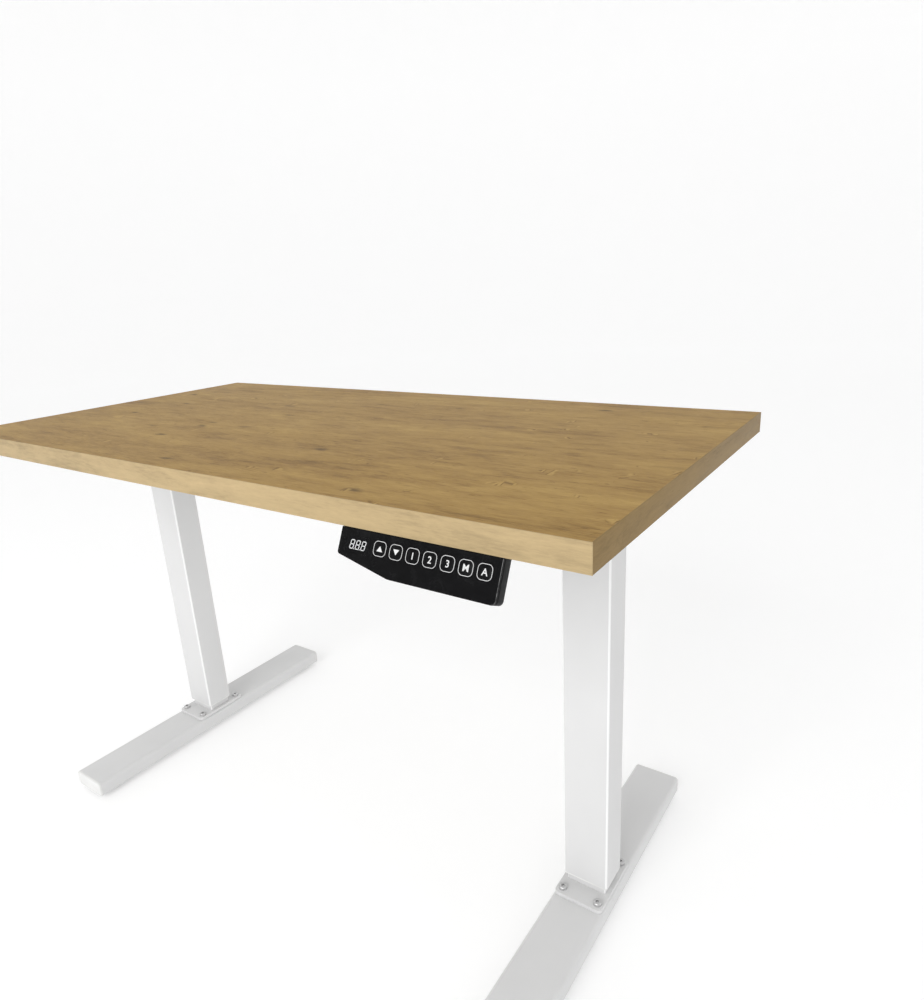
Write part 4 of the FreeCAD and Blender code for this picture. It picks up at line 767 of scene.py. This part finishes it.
def key_outline(i, grow=0.0):
    """A key's outline, or one as much larger all round."""
    return rounded(KEY_WIDE + 2 * grow, KEY_HIGH + 2 * grow, KEY_ROUND + grow, 8, key_middle(i))


def face_strip(mesh, outer, inner, low, high):
    """A thin raised band between two open lines of points."""
    skin(mesh, [[(*far, low), (*far, high), (*near, high), (*near, low)]
                for far, near in zip(outer, inner)])
    bmesh.ops.recalc_face_normals(mesh, faces=mesh.faces)


def build_fascia():
    """The gloss front plate with its windows, and the dark lens over the display."""
    place = handset_place()
    windows = [key_outline(i, KEY_GAP) for i in range(len(KEYS))]
    windows.append(rounded(LENS_WIDE, LENS_HIGH, LENS_ROUND, 5, LENS_MIDDLE))
    mesh = bmesh.new()
    pierced(mesh, handset_outline(), windows, -FASCIA_THICK, 0.0)
    piece("keypad_fascia", mesh, ["gloss_face"], "desktop", ["handset_fascia"], place, bevel=0.35 * MM)
    # A thin strip along the face's right edge, coloured lighter as a painted highlight on its chamfer.
    rim = bmesh.new()
    edges = []
    for inset in EDGE_LINE_INSETS:
        outline = handset_outline(inset)
        edges.append([point for point in outline[1:] + outline[:1]
                      if point[0] > HANDSET_WIDE / 2 - EDGE_LINE_REACH])
    face_strip(rim, *edges, EDGE_LINE_BACK, EDGE_LINE_PROUD)
    piece("keypad_edge_line", rim, ["edge_line"], "desktop", (), place)
    lens = bmesh.new()
    outline = rounded(LENS_WIDE - 2 * LENS_PLAY, LENS_HIGH - 2 * LENS_PLAY, LENS_ROUND, 5, LENS_MIDDLE)
    prism(lens, outline, -LENS_THICK, -LENS_SUNK)
    piece("display_window", lens, ["gloss_face"], "desktop", ["display_lens"], place)


# The shell's outline from front to back: how far it draws in, and its height over the face.
SHELL_STEPS = (
    (0.0, -FASCIA_THICK), (0.2 * MM, -FASCIA_THICK - 0.2 * MM), (0.5 * MM, -FASCIA_THICK - 0.4 * MM),
    (0.5 * MM, -FASCIA_THICK - 1.0 * MM), (0.0, -FASCIA_THICK - 1.3 * MM),
    (0.0, 1.6 * MM - HANDSET_THICK), (0.4 * MM, 0.6 * MM - HANDSET_THICK), (1.6 * MM, -HANDSET_THICK))


def build_housing():
    """The rear shell of the keypad with its flange under the board."""
    mesh = bmesh.new()
    skin(mesh, [[(x, y, z) for x, y in reversed(handset_outline(inset))] for inset, z in SHELL_STEPS])

    def slanted(out, up):
        return (out * math.sin(TILT) + up * math.cos(TILT), up * math.sin(TILT) - out * math.cos(TILT))

    sunk, half = 0.3 * MM, HANDSET_WIDE / 2 - 0.05 * MM
    under = (HANDSET_THICK - FLANGE_SHEET * math.sin(TILT)) / math.cos(TILT)
    roof = [(-sunk, -FASCIA_THICK - sunk), slanted(FASCIA_THICK / math.cos(TILT), 0),
            slanted(FLANGE_DEEP, 0), slanted(FLANGE_DEEP, -FLANGE_SHEET), slanted(under, -FLANGE_SHEET),
            (-sunk, sunk - HANDSET_THICK)]
    skin(mesh, [[(x, y, z) for y, z in roof] for x in (-half, half)])
    bmesh.ops.recalc_face_normals(mesh, faces=mesh.faces)
    piece("keypad_housing", mesh, ["black_shell"], "desktop", ["handset_housing"], handset_place())


def glyph(mesh, text, size, middle, height, material_index):
    """Adds thin raised characters, centred on a point, to a mesh."""
    curve = bpy.data.curves.new("glyph", "FONT")
    curve.body, curve.size = text, size
    curve.align_x, curve.align_y = "CENTER", "CENTER"
    curve.offset = size * 0.012
    curve.extrude = height / 2
    curve.resolution_u = 4
    holder = bpy.data.objects.new("glyph", curve)
    bpy.context.scene.collection.objects.link(holder)
    bpy.context.view_layer.update()
    raised = bpy.data.meshes.new_from_object(holder.evaluated_get(bpy.context.evaluated_depsgraph_get()))
    xs = [vert.co.x for vert in raised.vertices]
    ys = [vert.co.y for vert in raised.vertices]
    shift = Vector((middle[0] - (min(xs) + max(xs)) / 2, middle[1] - (min(ys) + max(ys)) / 2, height / 2))
    raised.transform(Matrix.Translation(shift))
    for polygon in raised.polygons:
        polygon.material_index = material_index
    mesh.from_mesh(raised)
    bmesh.ops.remove_doubles(mesh, verts=mesh.verts, dist=1e-7)
    bpy.data.objects.remove(holder)
    bpy.data.curves.remove(curve)
    bpy.data.meshes.remove(raised)


def build_keys():
    """Seven flush keys, each with its printed outline and its arrow or character."""
    settings = bpy.context.scene.desk_handset
    height = settings.print_height
    marks = {"1": "1", "2": "2", "3": "3", "memory": "M", "alarm": "A"}
    for i, name in enumerate(KEYS):
        x, y = key_middle(i)
        mesh = bmesh.new()
        cap = ((0.0, KEY_BACK), (0.0, -0.3 * MM), (0.08 * MM, -0.1 * MM), (0.3 * MM, 0.0))
        skin(mesh, [[(px, py, z) for px, py in key_outline(i, -shrink)] for shrink, z in cap])
        prism(mesh, key_outline(i, KEY_RIM), KEY_BACK, KEY_RIM_TOP)
        prism(mesh, circle(STEM_RADIUS, 20, (x, y)), STEM_END, KEY_BACK)
        ring = [rounded(PRINT_WIDE - 2 * cut, PRINT_HIGH - 2 * cut, PRINT_ROUND - cut, 10, (x, y))
                for cut in (0.0, settings.line)]
        wall(mesh, *ring, 0.0, height, material_index=1)
        if name in marks:
            glyph(mesh, marks[name], MARK_SIZE, (x, y), height, 1)
        else:
            up = 1 if name == "up" else -1
            rise, reach = up * ARROW_HALF_HIGH, up * ARROW_HALF_WIDE
            prism(mesh, [(x, y + rise), (x - reach, y - rise), (x + reach, y - rise)], 0.0, height, 1)
        piece(f"keypad_key_{name}", mesh, ["gloss_face", "printed"], f"key_{name}", [f"key_{name}"],
              handset_place())


def build_digits():
    """Three lit digits, each of seven slanted segments and a point."""
    place = handset_place()
    mesh = bmesh.new()
    left, pitch, gap = LENS_MIDDLE[0] - 9.3 * MM, 7.7 * MM, 0.12 * MM
    wide, high, thick, lean = 4.6 * MM, 9.0 * MM, 0.95 * MM, 0.16
    point_radius, point_gap = 0.55 * MM, 1.5 * MM
    low_z, high_z = -LENS_SUNK, 0.03 * MM

    def bar(x0, y0, x1, y1):
        ux, uy = x1 - x0, y1 - y0
        size = math.hypot(ux, uy)
        ux, uy = ux / size, uy / size
        nx, ny = -uy * thick / 2, ux * thick / 2
        cut = thick / 2
        ax, ay, bx, by = x0 + ux * cut, y0 + uy * cut, x1 - ux * cut, y1 - uy * cut
        outline = [(x0, y0), (ax - nx, ay - ny), (bx - nx, by - ny),
                   (x1, y1), (bx + nx, by + ny), (ax + nx, ay + ny)]
        leaning = [(x + lean * (y - LENS_MIDDLE[1]), y) for x, y in outline]
        prism(mesh, leaning, low_z, high_z)

    for digit in range(3):
        x0 = left + digit * pitch
        x1 = x0 + wide
        low, middle, top = (LENS_MIDDLE[1] + k * high / 2 for k in (-1, 0, 1))
        for y in (low, middle, top):
            bar(x0 + gap, y, x1 - gap, y)
        for x in (x0, x1):
            bar(x, low + gap, x, middle - gap)
            bar(x, middle + gap, x, top - gap)
        if digit < 2:
            spot = circle(point_radius, 12, (x1 + point_gap + lean * -high / 2, low))
            prism(mesh, spot, low_z, high_z)
    piece("display_digits", mesh, ["lit_segment"], "desktop", place=place, smooth=False)


# ---- stage --------------------------------------------------------------------------------------

def build_floor():
    """A plain pale floor that sweeps up all round into the backdrop."""
    floor = bmesh.new()
    flat, bend, rise, steps, bend_steps = 8.0, 4.0, 12.0, 72, 12
    profile = [(flat, 0.0)]
    for step in range(1, bend_steps + 1):
        angle = math.radians(90 * step / bend_steps)
        profile.append((flat + bend * math.sin(angle), bend - bend * math.cos(angle)))
    profile.append((flat + bend, rise))
    centre = floor.verts.new((0.0, 0.0, 0.0))
    rings = [[floor.verts.new((x, y, z)) for x, y in circle(radius, steps)] for radius, z in profile]
    for i in range(steps):
        floor.faces.new((centre, rings[0][i], rings[0][(i + 1) % steps]))
        for low, high in zip(rings, rings[1:]):
            floor.faces.new((low[i], high[i], high[(i + 1) % steps], low[(i + 1) % steps]))
    data = bpy.data.meshes.new("studio_floor")
    floor.to_mesh(data)
    floor.free()
    data.shade_smooth()
    settings = bpy.context.scene.desk_stage
    paint = Paint("studio_floor")
    tone = (*settings.floor, 1.0)
    data.materials.append(paint.surface(Base_Color=tone, Roughness=0.9, Emission_Color=tone,
                                        Emission_Strength=settings.floor_glow))
    thing = bpy.data.objects.new("studio_floor", data)
    bpy.context.scene.collection.objects.link(thing)


# Place and aim of the large light, and the side of its square.
LIGHT_PLACE, LIGHT_AIM, LIGHT_SIZE = Vector((0.35, -3.75, 2.45)), Vector((0.1, 0.0, 0.5)), 2.4


def build_lights():
    """An even sky and one large soft light at the front."""
    settings = bpy.context.scene.desk_stage
    world = bpy.data.worlds.new("studio_sky")
    world.use_nodes = True
    sky = world.node_tree.nodes["Background"]
    sky.inputs["Color"].default_value = (1.0, 1.0, 1.0, 1.0)
    sky.inputs["Strength"].default_value = settings.sky
    bpy.context.scene.world = world
    data = bpy.data.lights.new("key_light", "AREA")
    data.shape, data.size, data.energy = "SQUARE", LIGHT_SIZE, settings.key_power
    thing = bpy.data.objects.new("key_light", data)
    bpy.context.scene.collection.objects.link(thing)
    thing.location = LIGHT_PLACE
    thing.rotation_euler = (LIGHT_AIM - LIGHT_PLACE).to_track_quat("-Z", "Y").to_euler()
    bpy.context.scene.view_settings.view_transform = "Standard"


# Camera: turn to the left, tilt down and roll in degrees, and its place from the top's right front
# corner.
CAMERA_ANGLES, CAMERA_REACH = (35.24, 17.454, -3.089), (0.2221, -0.49553, 0.20997)


def build_camera():
    """Stands in front of the right end, turned left and down, with a small roll."""
    low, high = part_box("edge_band_front")
    corner = Vector((high.x, low.y, high.z))
    yaw, pitch, roll = (math.radians(angle) for angle in CAMERA_ANGLES)
    ahead = Vector((-math.sin(yaw) * math.cos(pitch), math.cos(yaw) * math.cos(pitch), -math.sin(pitch)))
    level = Vector((math.cos(yaw), math.sin(yaw), 0.0))
    above = level.cross(ahead)
    right = math.cos(roll) * level + math.sin(roll) * above
    up = math.cos(roll) * above - math.sin(roll) * level
    data = bpy.data.cameras.new("view")
    data.lens, data.sensor_width = bpy.context.scene.desk_stage.lens, 36.0
    data.clip_start, data.clip_end = 0.01, 60.0
    camera = bpy.data.objects.new("view", data)
    bpy.context.scene.collection.objects.link(camera)
    camera.location = corner + Vector(CAMERA_REACH)
    camera.rotation_euler = Matrix((right, up, -ahead)).transposed().to_euler()
    bpy.context.scene.camera = camera


# ---- steel frame and drives ---------------------------------------------------------------------

def copied(node):
    """A merged copy of a CAD node's mesh, with its flat faces joined."""
    mesh = bmesh.new()
    mesh.from_mesh(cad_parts[node].data)
    bmesh.ops.remove_doubles(mesh, verts=mesh.verts, dist=1e-6)
    bmesh.ops.dissolve_limit(mesh, angle_limit=math.radians(1.0), verts=mesh.verts, edges=mesh.edges)
    return mesh


def islands(node):
    """The middle and size of each separate solid of a CAD node."""
    mesh = copied(node)
    left = set(mesh.verts)
    found = []
    while left:
        group, ends = set(), [left.pop()]
        while ends:
            vert = ends.pop()
            group.add(vert)
            near = {edge.other_vert(vert) for edge in vert.link_edges} & left
            left -= near
            ends += near
        low = Vector([min(vert.co[i] for vert in group) for i in range(3)])
        high = Vector([max(vert.co[i] for vert in group) for i in range(3)])
        found.append(((low + high) / 2, high - low))
    mesh.free()
    return sorted(found, key=lambda solid: tuple(solid[0]))


def soften(node, finish, bevel=0.0004):
    """Makes a node's shape again with its sharp edges broken."""
    piece(f"{node}_part", copied(node), [finish], "desktop", [node], bevel=bevel, steps=2)


def build_brackets():
    """Pressed side brackets and the two channel crossbars."""
    for node in ("side_bracket_left", "side_bracket_right", "crossbar_front", "crossbar_rear"):
        soften(node, "powder_coat")


def build_gear_cases():
    """Cast gear cases with their cover plates."""
    for node in ("gear_case_left", "gear_case_right"):
        soften(node, "cast_alloy", bevel=0.0008)
    soften("gear_covers", "cast_alloy")


# A motor's flange: its width, corners and heights over its seat.
MOTOR_FLANGE, FLANGE_ROUND, FLANGE_HEIGHTS = 40 * MM, 4 * MM, (0.2 * MM, 4.8 * MM)
# Radius and height over the flange's seat of each ring of a motor's can, end bell and boss.
CAN_RINGS = (
    (0.0150, 0.0048), (0.0172, 0.0052), (0.0180, 0.0062), (0.0180, 0.0110), (0.0176, 0.0114),
    (0.0176, 0.0126), (0.0180, 0.0130), (0.0180, 0.0790), (0.0174, 0.0796), (0.0174, 0.0812),
    (0.0180, 0.0818), (0.0180, 0.0880), (0.0171, 0.0890), (0.0120, 0.0892), (0.0116, 0.0900),
    (0.0112, 0.0938), (0.0100, 0.0940), (0.0050, 0.0940), (0.0046, 0.0932))
# Slots of the end bell: how many, their width, length and corners, distance from the axis, heights.
BELL_SLOTS, SLOT_SIZE, SLOT_AT, SLOT_HEIGHTS = 6, (2.2 * MM, 7.5 * MM, MM), 14.8 * MM, (88 * MM, 89.35 * MM)


def build_motors():
    """A flanged motor: rolled can, crimped end ring, end bell with slots drawn as near-black patches of
    painted shade, and a bearing boss.
    """
    for side, sign in SIDES.items():
        node = f"motor_{side}"
        low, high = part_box(node)
        middle, _ = span(node)
        root = low.x if side == "left" else high.x
        place = (Matrix.Translation((root, middle.y, middle.z))
                 @ Matrix.Rotation(math.radians(-90 * sign), 4, "Y"))
        mesh = bmesh.new()
        prism(mesh, rounded(MOTOR_FLANGE, MOTOR_FLANGE, FLANGE_ROUND, 5), *FLANGE_HEIGHTS)
        turned(mesh, CAN_RINGS, 56)
        # Each slot is a near-black patch on the end bell: painted shade standing in for the opening.
        for i in range(BELL_SLOTS):
            turn = Matrix.Rotation(2 * math.pi * i / BELL_SLOTS, 2)
            points = [turn @ Vector(point) for point in rounded(*SLOT_SIZE, 4, (0.0, SLOT_AT))]
            prism(mesh, points, *SLOT_HEIGHTS, 1)
        soft = piece(f"{node}_can", mesh, ["motor_paint", "dark_recess"], "desktop", [node], place,
                     bevel=0.0003, steps=2)
        soft.modifiers["EdgeRounding"].angle_limit = math.radians(50)


def build_control_box():
    """The control box under the top: base tray, cover, sockets and inlet."""
    soften("control_box_base", "black_shell")
    soften("control_box_cover", "black_shell", bevel=0.0008)
    soften("mains_inlet", "black_shell", bevel=0.0003)
    soften("control_sockets", "grey_plastic", bevel=0.0002)
    soften("handset_socket", "grey_plastic", bevel=0.0002)


# ---- repeated pieces ----------------------------------------------------------------------------

class Repeat(Nodes):
    """A Geometry Nodes tree with named inputs, ended by its real geometry and its material."""

    def __init__(self, name, inputs):
        super().__init__(bpy.data.node_groups.new(name, "GeometryNodeTree"))
        sockets = self.tree.interface
        sockets.new_socket("Geometry", in_out="INPUT", socket_type="NodeSocketGeometry")
        for label, kind in inputs.items():
            sockets.new_socket(label, in_out="INPUT", socket_type=kind)
        sockets.new_socket("Geometry", in_out="OUTPUT", socket_type="NodeSocketGeometry")
        self.start = self.tree.nodes.new("NodeGroupInput")

    def given(self, label):
        return Wire(self, self.start.outputs[label])

    def end(self, instances):
        real = self.add("GeometryNodeRealizeInstances", None, {"Geometry": instances})
        painted = self.add("GeometryNodeSetMaterial", None,
                           {"Geometry": real, "Material": self.given("Material")})
        self.add("NodeGroupOutput", None, {0: painted})

    def run(self, points, values):
        """Runs the tree on loose points and gives back the plain mesh."""
        data = bpy.data.meshes.new("points")
        data.from_pydata([tuple(point) for point in points], [], [])
        holder = bpy.data.objects.new("points", data)
        bpy.context.scene.collection.objects.link(holder)
        modifier = holder.modifiers.new("Repeat", "NODES")
        modifier.node_group = self.tree
        for item in self.tree.interface.items_tree:
            if item.in_out == "INPUT" and item.name in values:
                modifier[item.identifier] = values[item.name]
        bpy.context.view_layer.update()
        made = holder.evaluated_get(bpy.context.evaluated_depsgraph_get())
        result = bpy.data.meshes.new_from_object(made)
        holder.modifiers.remove(modifier)
        bpy.data.objects.remove(holder)
        bpy.data.meshes.remove(data)
        return result


# A screw head's chamfered share of its height, and the faces round head and shank.
RIM_SHARE, HEAD_SIDES, SHANK_SIDES = 0.16, 28, 16


def screw_tree():
    """A socket-headed screw on every point: chamfered head, hexagon socket and shank."""
    tree = Repeat("screws", {
        "Head radius": "NodeSocketFloat", "Head height": "NodeSocketFloat",
        "Socket radius": "NodeSocketFloat", "Shank radius": "NodeSocketFloat",
        "Shank length": "NodeSocketFloat", "Turn": "NodeSocketRotation", "Material": "NodeSocketMaterial"})

    def moved(geometry, height):
        shift = tree.add("ShaderNodeCombineXYZ", None, {"Z": height})
        return tree.add("GeometryNodeTransform", None, {"Geometry": geometry, "Translation": shift})

    radius, height = tree.given("Head radius"), tree.given("Head height")
    body_height = height * (1 - RIM_SHARE)
    body = tree.add("GeometryNodeMeshCylinder", None, {
        "Vertices": HEAD_SIDES, "Radius": radius, "Depth": body_height})
    rim = tree.add("GeometryNodeMeshCone", None, {
        "Vertices": HEAD_SIDES, "Radius Bottom": radius, "Radius Top": radius * 0.9,
        "Depth": height * RIM_SHARE})
    solids = [moved(body, body_height * 0.5), moved(rim, body_height)]
    head = tree.add("GeometryNodeMeshBoolean", {"operation": "UNION"}, {"Mesh": solids}, output="Mesh")
    key = tree.add("GeometryNodeMeshCylinder", None, {
        "Vertices": 6, "Radius": tree.given("Socket radius"), "Depth": height})
    key = moved(key, height * 0.95)
    head = tree.add("GeometryNodeMeshBoolean", {"operation": "DIFFERENCE"},
                    {"Mesh 1": head, "Mesh 2": key}, output="Mesh")
    shank_length = tree.given("Shank length")
    shank = tree.add("GeometryNodeMeshCylinder", None, {
        "Vertices": SHANK_SIDES, "Radius": tree.given("Shank radius"), "Depth": shank_length})
    screw = tree.add("GeometryNodeJoinGeometry", None, {
        "Geometry": [head, moved(shank, shank_length * -0.5)]})
    placed = tree.add("GeometryNodeInstanceOnPoints", None, {
        "Points": tree.given("Geometry"), "Instance": screw, "Rotation": tree.given("Turn")})
    tree.end(placed)
    return tree


# Each set of screws: its body, then head height, socket radius and shank radius by head radius.
SCREWS = {
    "wood_screws": ("desktop", 0.0025, 0.0016, 0.0020),
    "frame_bolts": ("desktop", None, 0.0026, 0.0030),
    "foot_bolts": ("base", 0.0048, 0.0028, 0.0040),
}
BAR_HEAD, CASE_HEAD = 0.003, 0.006


def screw_mesh(tree, mesh, seats, axis, head, tall, socket, shank, whole):
    """Adds equal screws to a mesh. A seat is the place under a head, and the axis points to it."""
    data = tree.run(seats, {
        "Head radius": head, "Head height": tall, "Socket radius": socket, "Shank radius": shank,
        "Shank length": whole - tall, "Turn": Vector((0, 0, 1)).rotation_difference(axis).to_euler(),
        "Material": material("zinc")})
    mesh.from_mesh(data)
    bpy.data.meshes.remove(data)


# Screws of a motor's flange: distance from its middle, head radius and height, socket, shank and
# whole length.
FLANGE_SCREW_AT, FLANGE_SCREW = 15.5 * MM, (2.5 * MM, 1.8 * MM, 1.3 * MM, 1.2 * MM, 5 * MM)
FLANGE_THICK = 5 * MM


def build_screws():
    """Every wood screw, machine screw and foot bolt, and the small screws of the motor flanges."""
    tree = screw_tree()
    for node, (body, tall, socket, shank) in SCREWS.items():
        rows = {}
        for middle, size in islands(node):
            if size.x > size.z:
                axis, head = (math.copysign(1, middle.x), 0, 0), size.z / 2
            else:
                axis, head = (0, 0, 1 if body == "base" else -1), size.x / 2
            whole = max(size)
            rows.setdefault((axis, round(head, 5), round(whole, 5)), []).append(middle)
        mesh = bmesh.new()
        for (axis, head, whole), middles in rows.items():
            axis = Vector(axis)
            height = tall or (BAR_HEAD if axis.x else CASE_HEAD)
            seats = [middle + axis * (whole / 2 - height) for middle in middles]
            screw_mesh(tree, mesh, seats, axis, head, height, socket, shank, whole)
        piece(f"{node}_set", mesh, ["zinc"], body, [node])
    mesh = bmesh.new()
    for side, sign in SIDES.items():
        low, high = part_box(f"motor_{side}")
        middle, _ = span(f"motor_{side}")
        face = low.x + FLANGE_THICK if side == "left" else high.x - FLANGE_THICK
        seats = [middle + Vector((face - middle.x, a * FLANGE_SCREW_AT, b * FLANGE_SCREW_AT))
                 for a in (-1, 1) for b in (-1, 1)]
        screw_mesh(tree, mesh, seats, Vector((-sign, 0, 0)), *FLANGE_SCREW)
    piece("motor_flange_screws", mesh, ["zinc"], "desktop")


# Ribs of the control box: how many each way from the middle, their pitch, radius, their ends'
# distance from the cover's edge, and how far their middles lie inside the cover.
RIBS_EACH_WAY, RIB_PITCH, RIB_RADIUS, RIB_END, RIB_SUNK = 8, 11 * MM, 1 * MM, 13 * MM, 0.2 * MM


def build_ribs():
    """Moulded ribs along the lower face of the control box."""
    tree = Repeat("ribs", {"Length": "NodeSocketFloat", "Radius": "NodeSocketFloat",
                           "Material": "NodeSocketMaterial"})
    half = tree.given("Length") * 0.5
    start, end = (tree.add("ShaderNodeCombineXYZ", None, {"Y": half * sign}) for sign in (-1.0, 1.0))
    line = tree.add("GeometryNodeCurvePrimitiveLine", None, {"Start": start, "End": end})
    ring = tree.add("GeometryNodeCurvePrimitiveCircle", None,
                    {"Resolution": 12, "Radius": tree.given("Radius")})
    rib = tree.add("GeometryNodeCurveToMesh", None,
                   {"Curve": line, "Profile Curve": ring, "Fill Caps": True})
    placed = tree.add("GeometryNodeInstanceOnPoints", None,
                      {"Points": tree.given("Geometry"), "Instance": rib})
    tree.end(placed)
    middle, size = span("control_box_cover")
    height = middle.z - size.z / 2 + RIB_SUNK
    points = [(middle.x + i * RIB_PITCH, middle.y, height) for i in range(-RIBS_EACH_WAY, RIBS_EACH_WAY + 1)]
    data = tree.run(points, {"Length": size.y - 2 * RIB_END, "Radius": RIB_RADIUS,
                             "Material": material("black_shell")})
    mesh = bmesh.new()
    mesh.from_mesh(data)
    bpy.data.meshes.remove(data)
    piece("control_box_ribs", mesh, ["black_shell"], "desktop")


# ---- finishes of the nodes that stay ------------------------------------------------------------

def finish_nodes():
    """Paints the nodes that keep their own shape."""
    for finish, names in NODE_FINISH.items():
        for name in names:
            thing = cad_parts[name]
            for slot in thing.material_slots:
                slot.material = material(finish)
            if not thing.material_slots:
                thing.data.materials.append(material(finish))


# ---- operators and panel ------------------------------------------------------------------------

class DESK_OT_camera(bpy.types.Operator):
    """Stands the camera in front of the right end"""
    bl_idname = "desk.camera"
    bl_label = "Camera"

    def execute(self, context):
        build_camera()
        return {"FINISHED"}


class DESK_OT_top(bpy.types.Operator):
    """Builds the laminated top"""
    bl_idname = "desk.top"
    bl_label = "Top"

    def execute(self, context):
        build_top()
        return {"FINISHED"}


class DESK_OT_strips(bpy.types.Operator):
    """Builds the edge strips round the top"""
    bl_idname = "desk.strips"
    bl_label = "Edge strips"

    def execute(self, context):
        build_strips()
        return {"FINISHED"}


class DESK_OT_columns(bpy.types.Operator):
    """Builds the column tubes and their collars"""
    bl_idname = "desk.columns"
    bl_label = "Columns"

    def execute(self, context):
        build_columns()
        return {"FINISHED"}


class DESK_OT_feet(bpy.types.Operator):
    """Builds the feet, their caps and the base plates"""
    bl_idname = "desk.feet"
    bl_label = "Feet"

    def execute(self, context):
        build_feet()
        return {"FINISHED"}


class DESK_OT_levellers(bpy.types.Operator):
    """Builds the four levelling pads"""
    bl_idname = "desk.levellers"
    bl_label = "Levellers"

    def execute(self, context):
        build_levellers()
        return {"FINISHED"}


class DESK_OT_brackets(bpy.types.Operator):
    """Builds the steel frame under the top"""
    bl_idname = "desk.brackets"
    bl_label = "Brackets and bars"

    def execute(self, context):
        build_brackets()
        return {"FINISHED"}


class DESK_OT_gear_cases(bpy.types.Operator):
    """Builds the gear cases"""
    bl_idname = "desk.gear_cases"
    bl_label = "Gear cases"

    def execute(self, context):
        build_gear_cases()
        return {"FINISHED"}


class DESK_OT_motors(bpy.types.Operator):
    """Builds the two motors"""
    bl_idname = "desk.motors"
    bl_label = "Motors"

    def execute(self, context):
        build_motors()
        return {"FINISHED"}


class DESK_OT_control_box(bpy.types.Operator):
    """Builds the control box and its sockets"""
    bl_idname = "desk.control_box"
    bl_label = "Control box"

    def execute(self, context):
        build_control_box()
        return {"FINISHED"}


class DESK_OT_screws(bpy.types.Operator):
    """Builds every screw and bolt"""
    bl_idname = "desk.screws"
    bl_label = "Screws"

    def execute(self, context):
        build_screws()
        return {"FINISHED"}


class DESK_OT_ribs(bpy.types.Operator):
    """Builds the ribs under the control box"""
    bl_idname = "desk.ribs"
    bl_label = "Control box ribs"

    def execute(self, context):
        build_ribs()
        return {"FINISHED"}


class DESK_OT_fascia(bpy.types.Operator):
    """Builds the keypad's face and its display window"""
    bl_idname = "desk.fascia"
    bl_label = "Keypad face"

    def execute(self, context):
        build_fascia()
        return {"FINISHED"}


class DESK_OT_housing(bpy.types.Operator):
    """Builds the keypad's rear shell"""
    bl_idname = "desk.housing"
    bl_label = "Keypad housing"

    def execute(self, context):
        build_housing()
        return {"FINISHED"}


class DESK_OT_keys(bpy.types.Operator):
    """Builds the seven keys"""
    bl_idname = "desk.keys"
    bl_label = "Keys"

    def execute(self, context):
        build_keys()
        return {"FINISHED"}


class DESK_OT_digits(bpy.types.Operator):
    """Builds the display's lit digits"""
    bl_idname = "desk.digits"
    bl_label = "Digits"

    def execute(self, context):
        build_digits()
        return {"FINISHED"}


class DESK_OT_finishes(bpy.types.Operator):
    """Paints the parts that keep their CAD shape"""
    bl_idname = "desk.finishes"
    bl_label = "Finishes"

    def execute(self, context):
        finish_nodes()
        return {"FINISHED"}


class DESK_OT_stage(bpy.types.Operator):
    """Builds the floor and the lights"""
    bl_idname = "desk.stage"
    bl_label = "Stage"

    def execute(self, context):
        build_floor()
        build_lights()
        return {"FINISHED"}


OPERATORS = [
    DESK_OT_camera, DESK_OT_top, DESK_OT_strips, DESK_OT_columns, DESK_OT_feet, DESK_OT_levellers,
    DESK_OT_brackets, DESK_OT_gear_cases, DESK_OT_motors, DESK_OT_control_box, DESK_OT_screws,
    DESK_OT_ribs, DESK_OT_fascia, DESK_OT_housing, DESK_OT_keys, DESK_OT_digits, DESK_OT_finishes,
    DESK_OT_stage,
]
GROUPS = {"desk_top": DeskTopSettings, "desk_frame": DeskFrameSettings,
          "desk_handset": DeskHandsetSettings, "desk_stage": DeskStageSettings}


class DESK_PT_looks(bpy.types.Panel):
    """Lists the steps that build the desk's surfaces, and their settings"""
    bl_idname = "DESK_PT_looks"
    bl_label = "Standing Desk"
    bl_space_type = "VIEW_3D"
    bl_region_type = "UI"
    bl_category = "Desk"

    def draw(self, context):
        for step in OPERATORS:
            self.layout.operator(step.bl_idname)
        for name, group in GROUPS.items():
            box = self.layout.box()
            for setting in group.__annotations__:
                box.prop(getattr(context.scene, name), setting)


def register():
    for kind in list(GROUPS.values()) + OPERATORS + [DESK_PT_looks]:
        bpy.utils.register_class(kind)
    for name, group in GROUPS.items():
        setattr(bpy.types.Scene, name, PointerProperty(type=group))


def unregister():
    for name in GROUPS:
        delattr(bpy.types.Scene, name)
    for kind in [DESK_PT_looks] + OPERATORS[::-1] + list(GROUPS.values()):
        bpy.utils.unregister_class(kind)


def main():
    register()
    for step in OPERATORS:
        getattr(bpy.ops.desk, step.bl_idname.split(".")[1])()


if __name__ == "__main__":
    main()
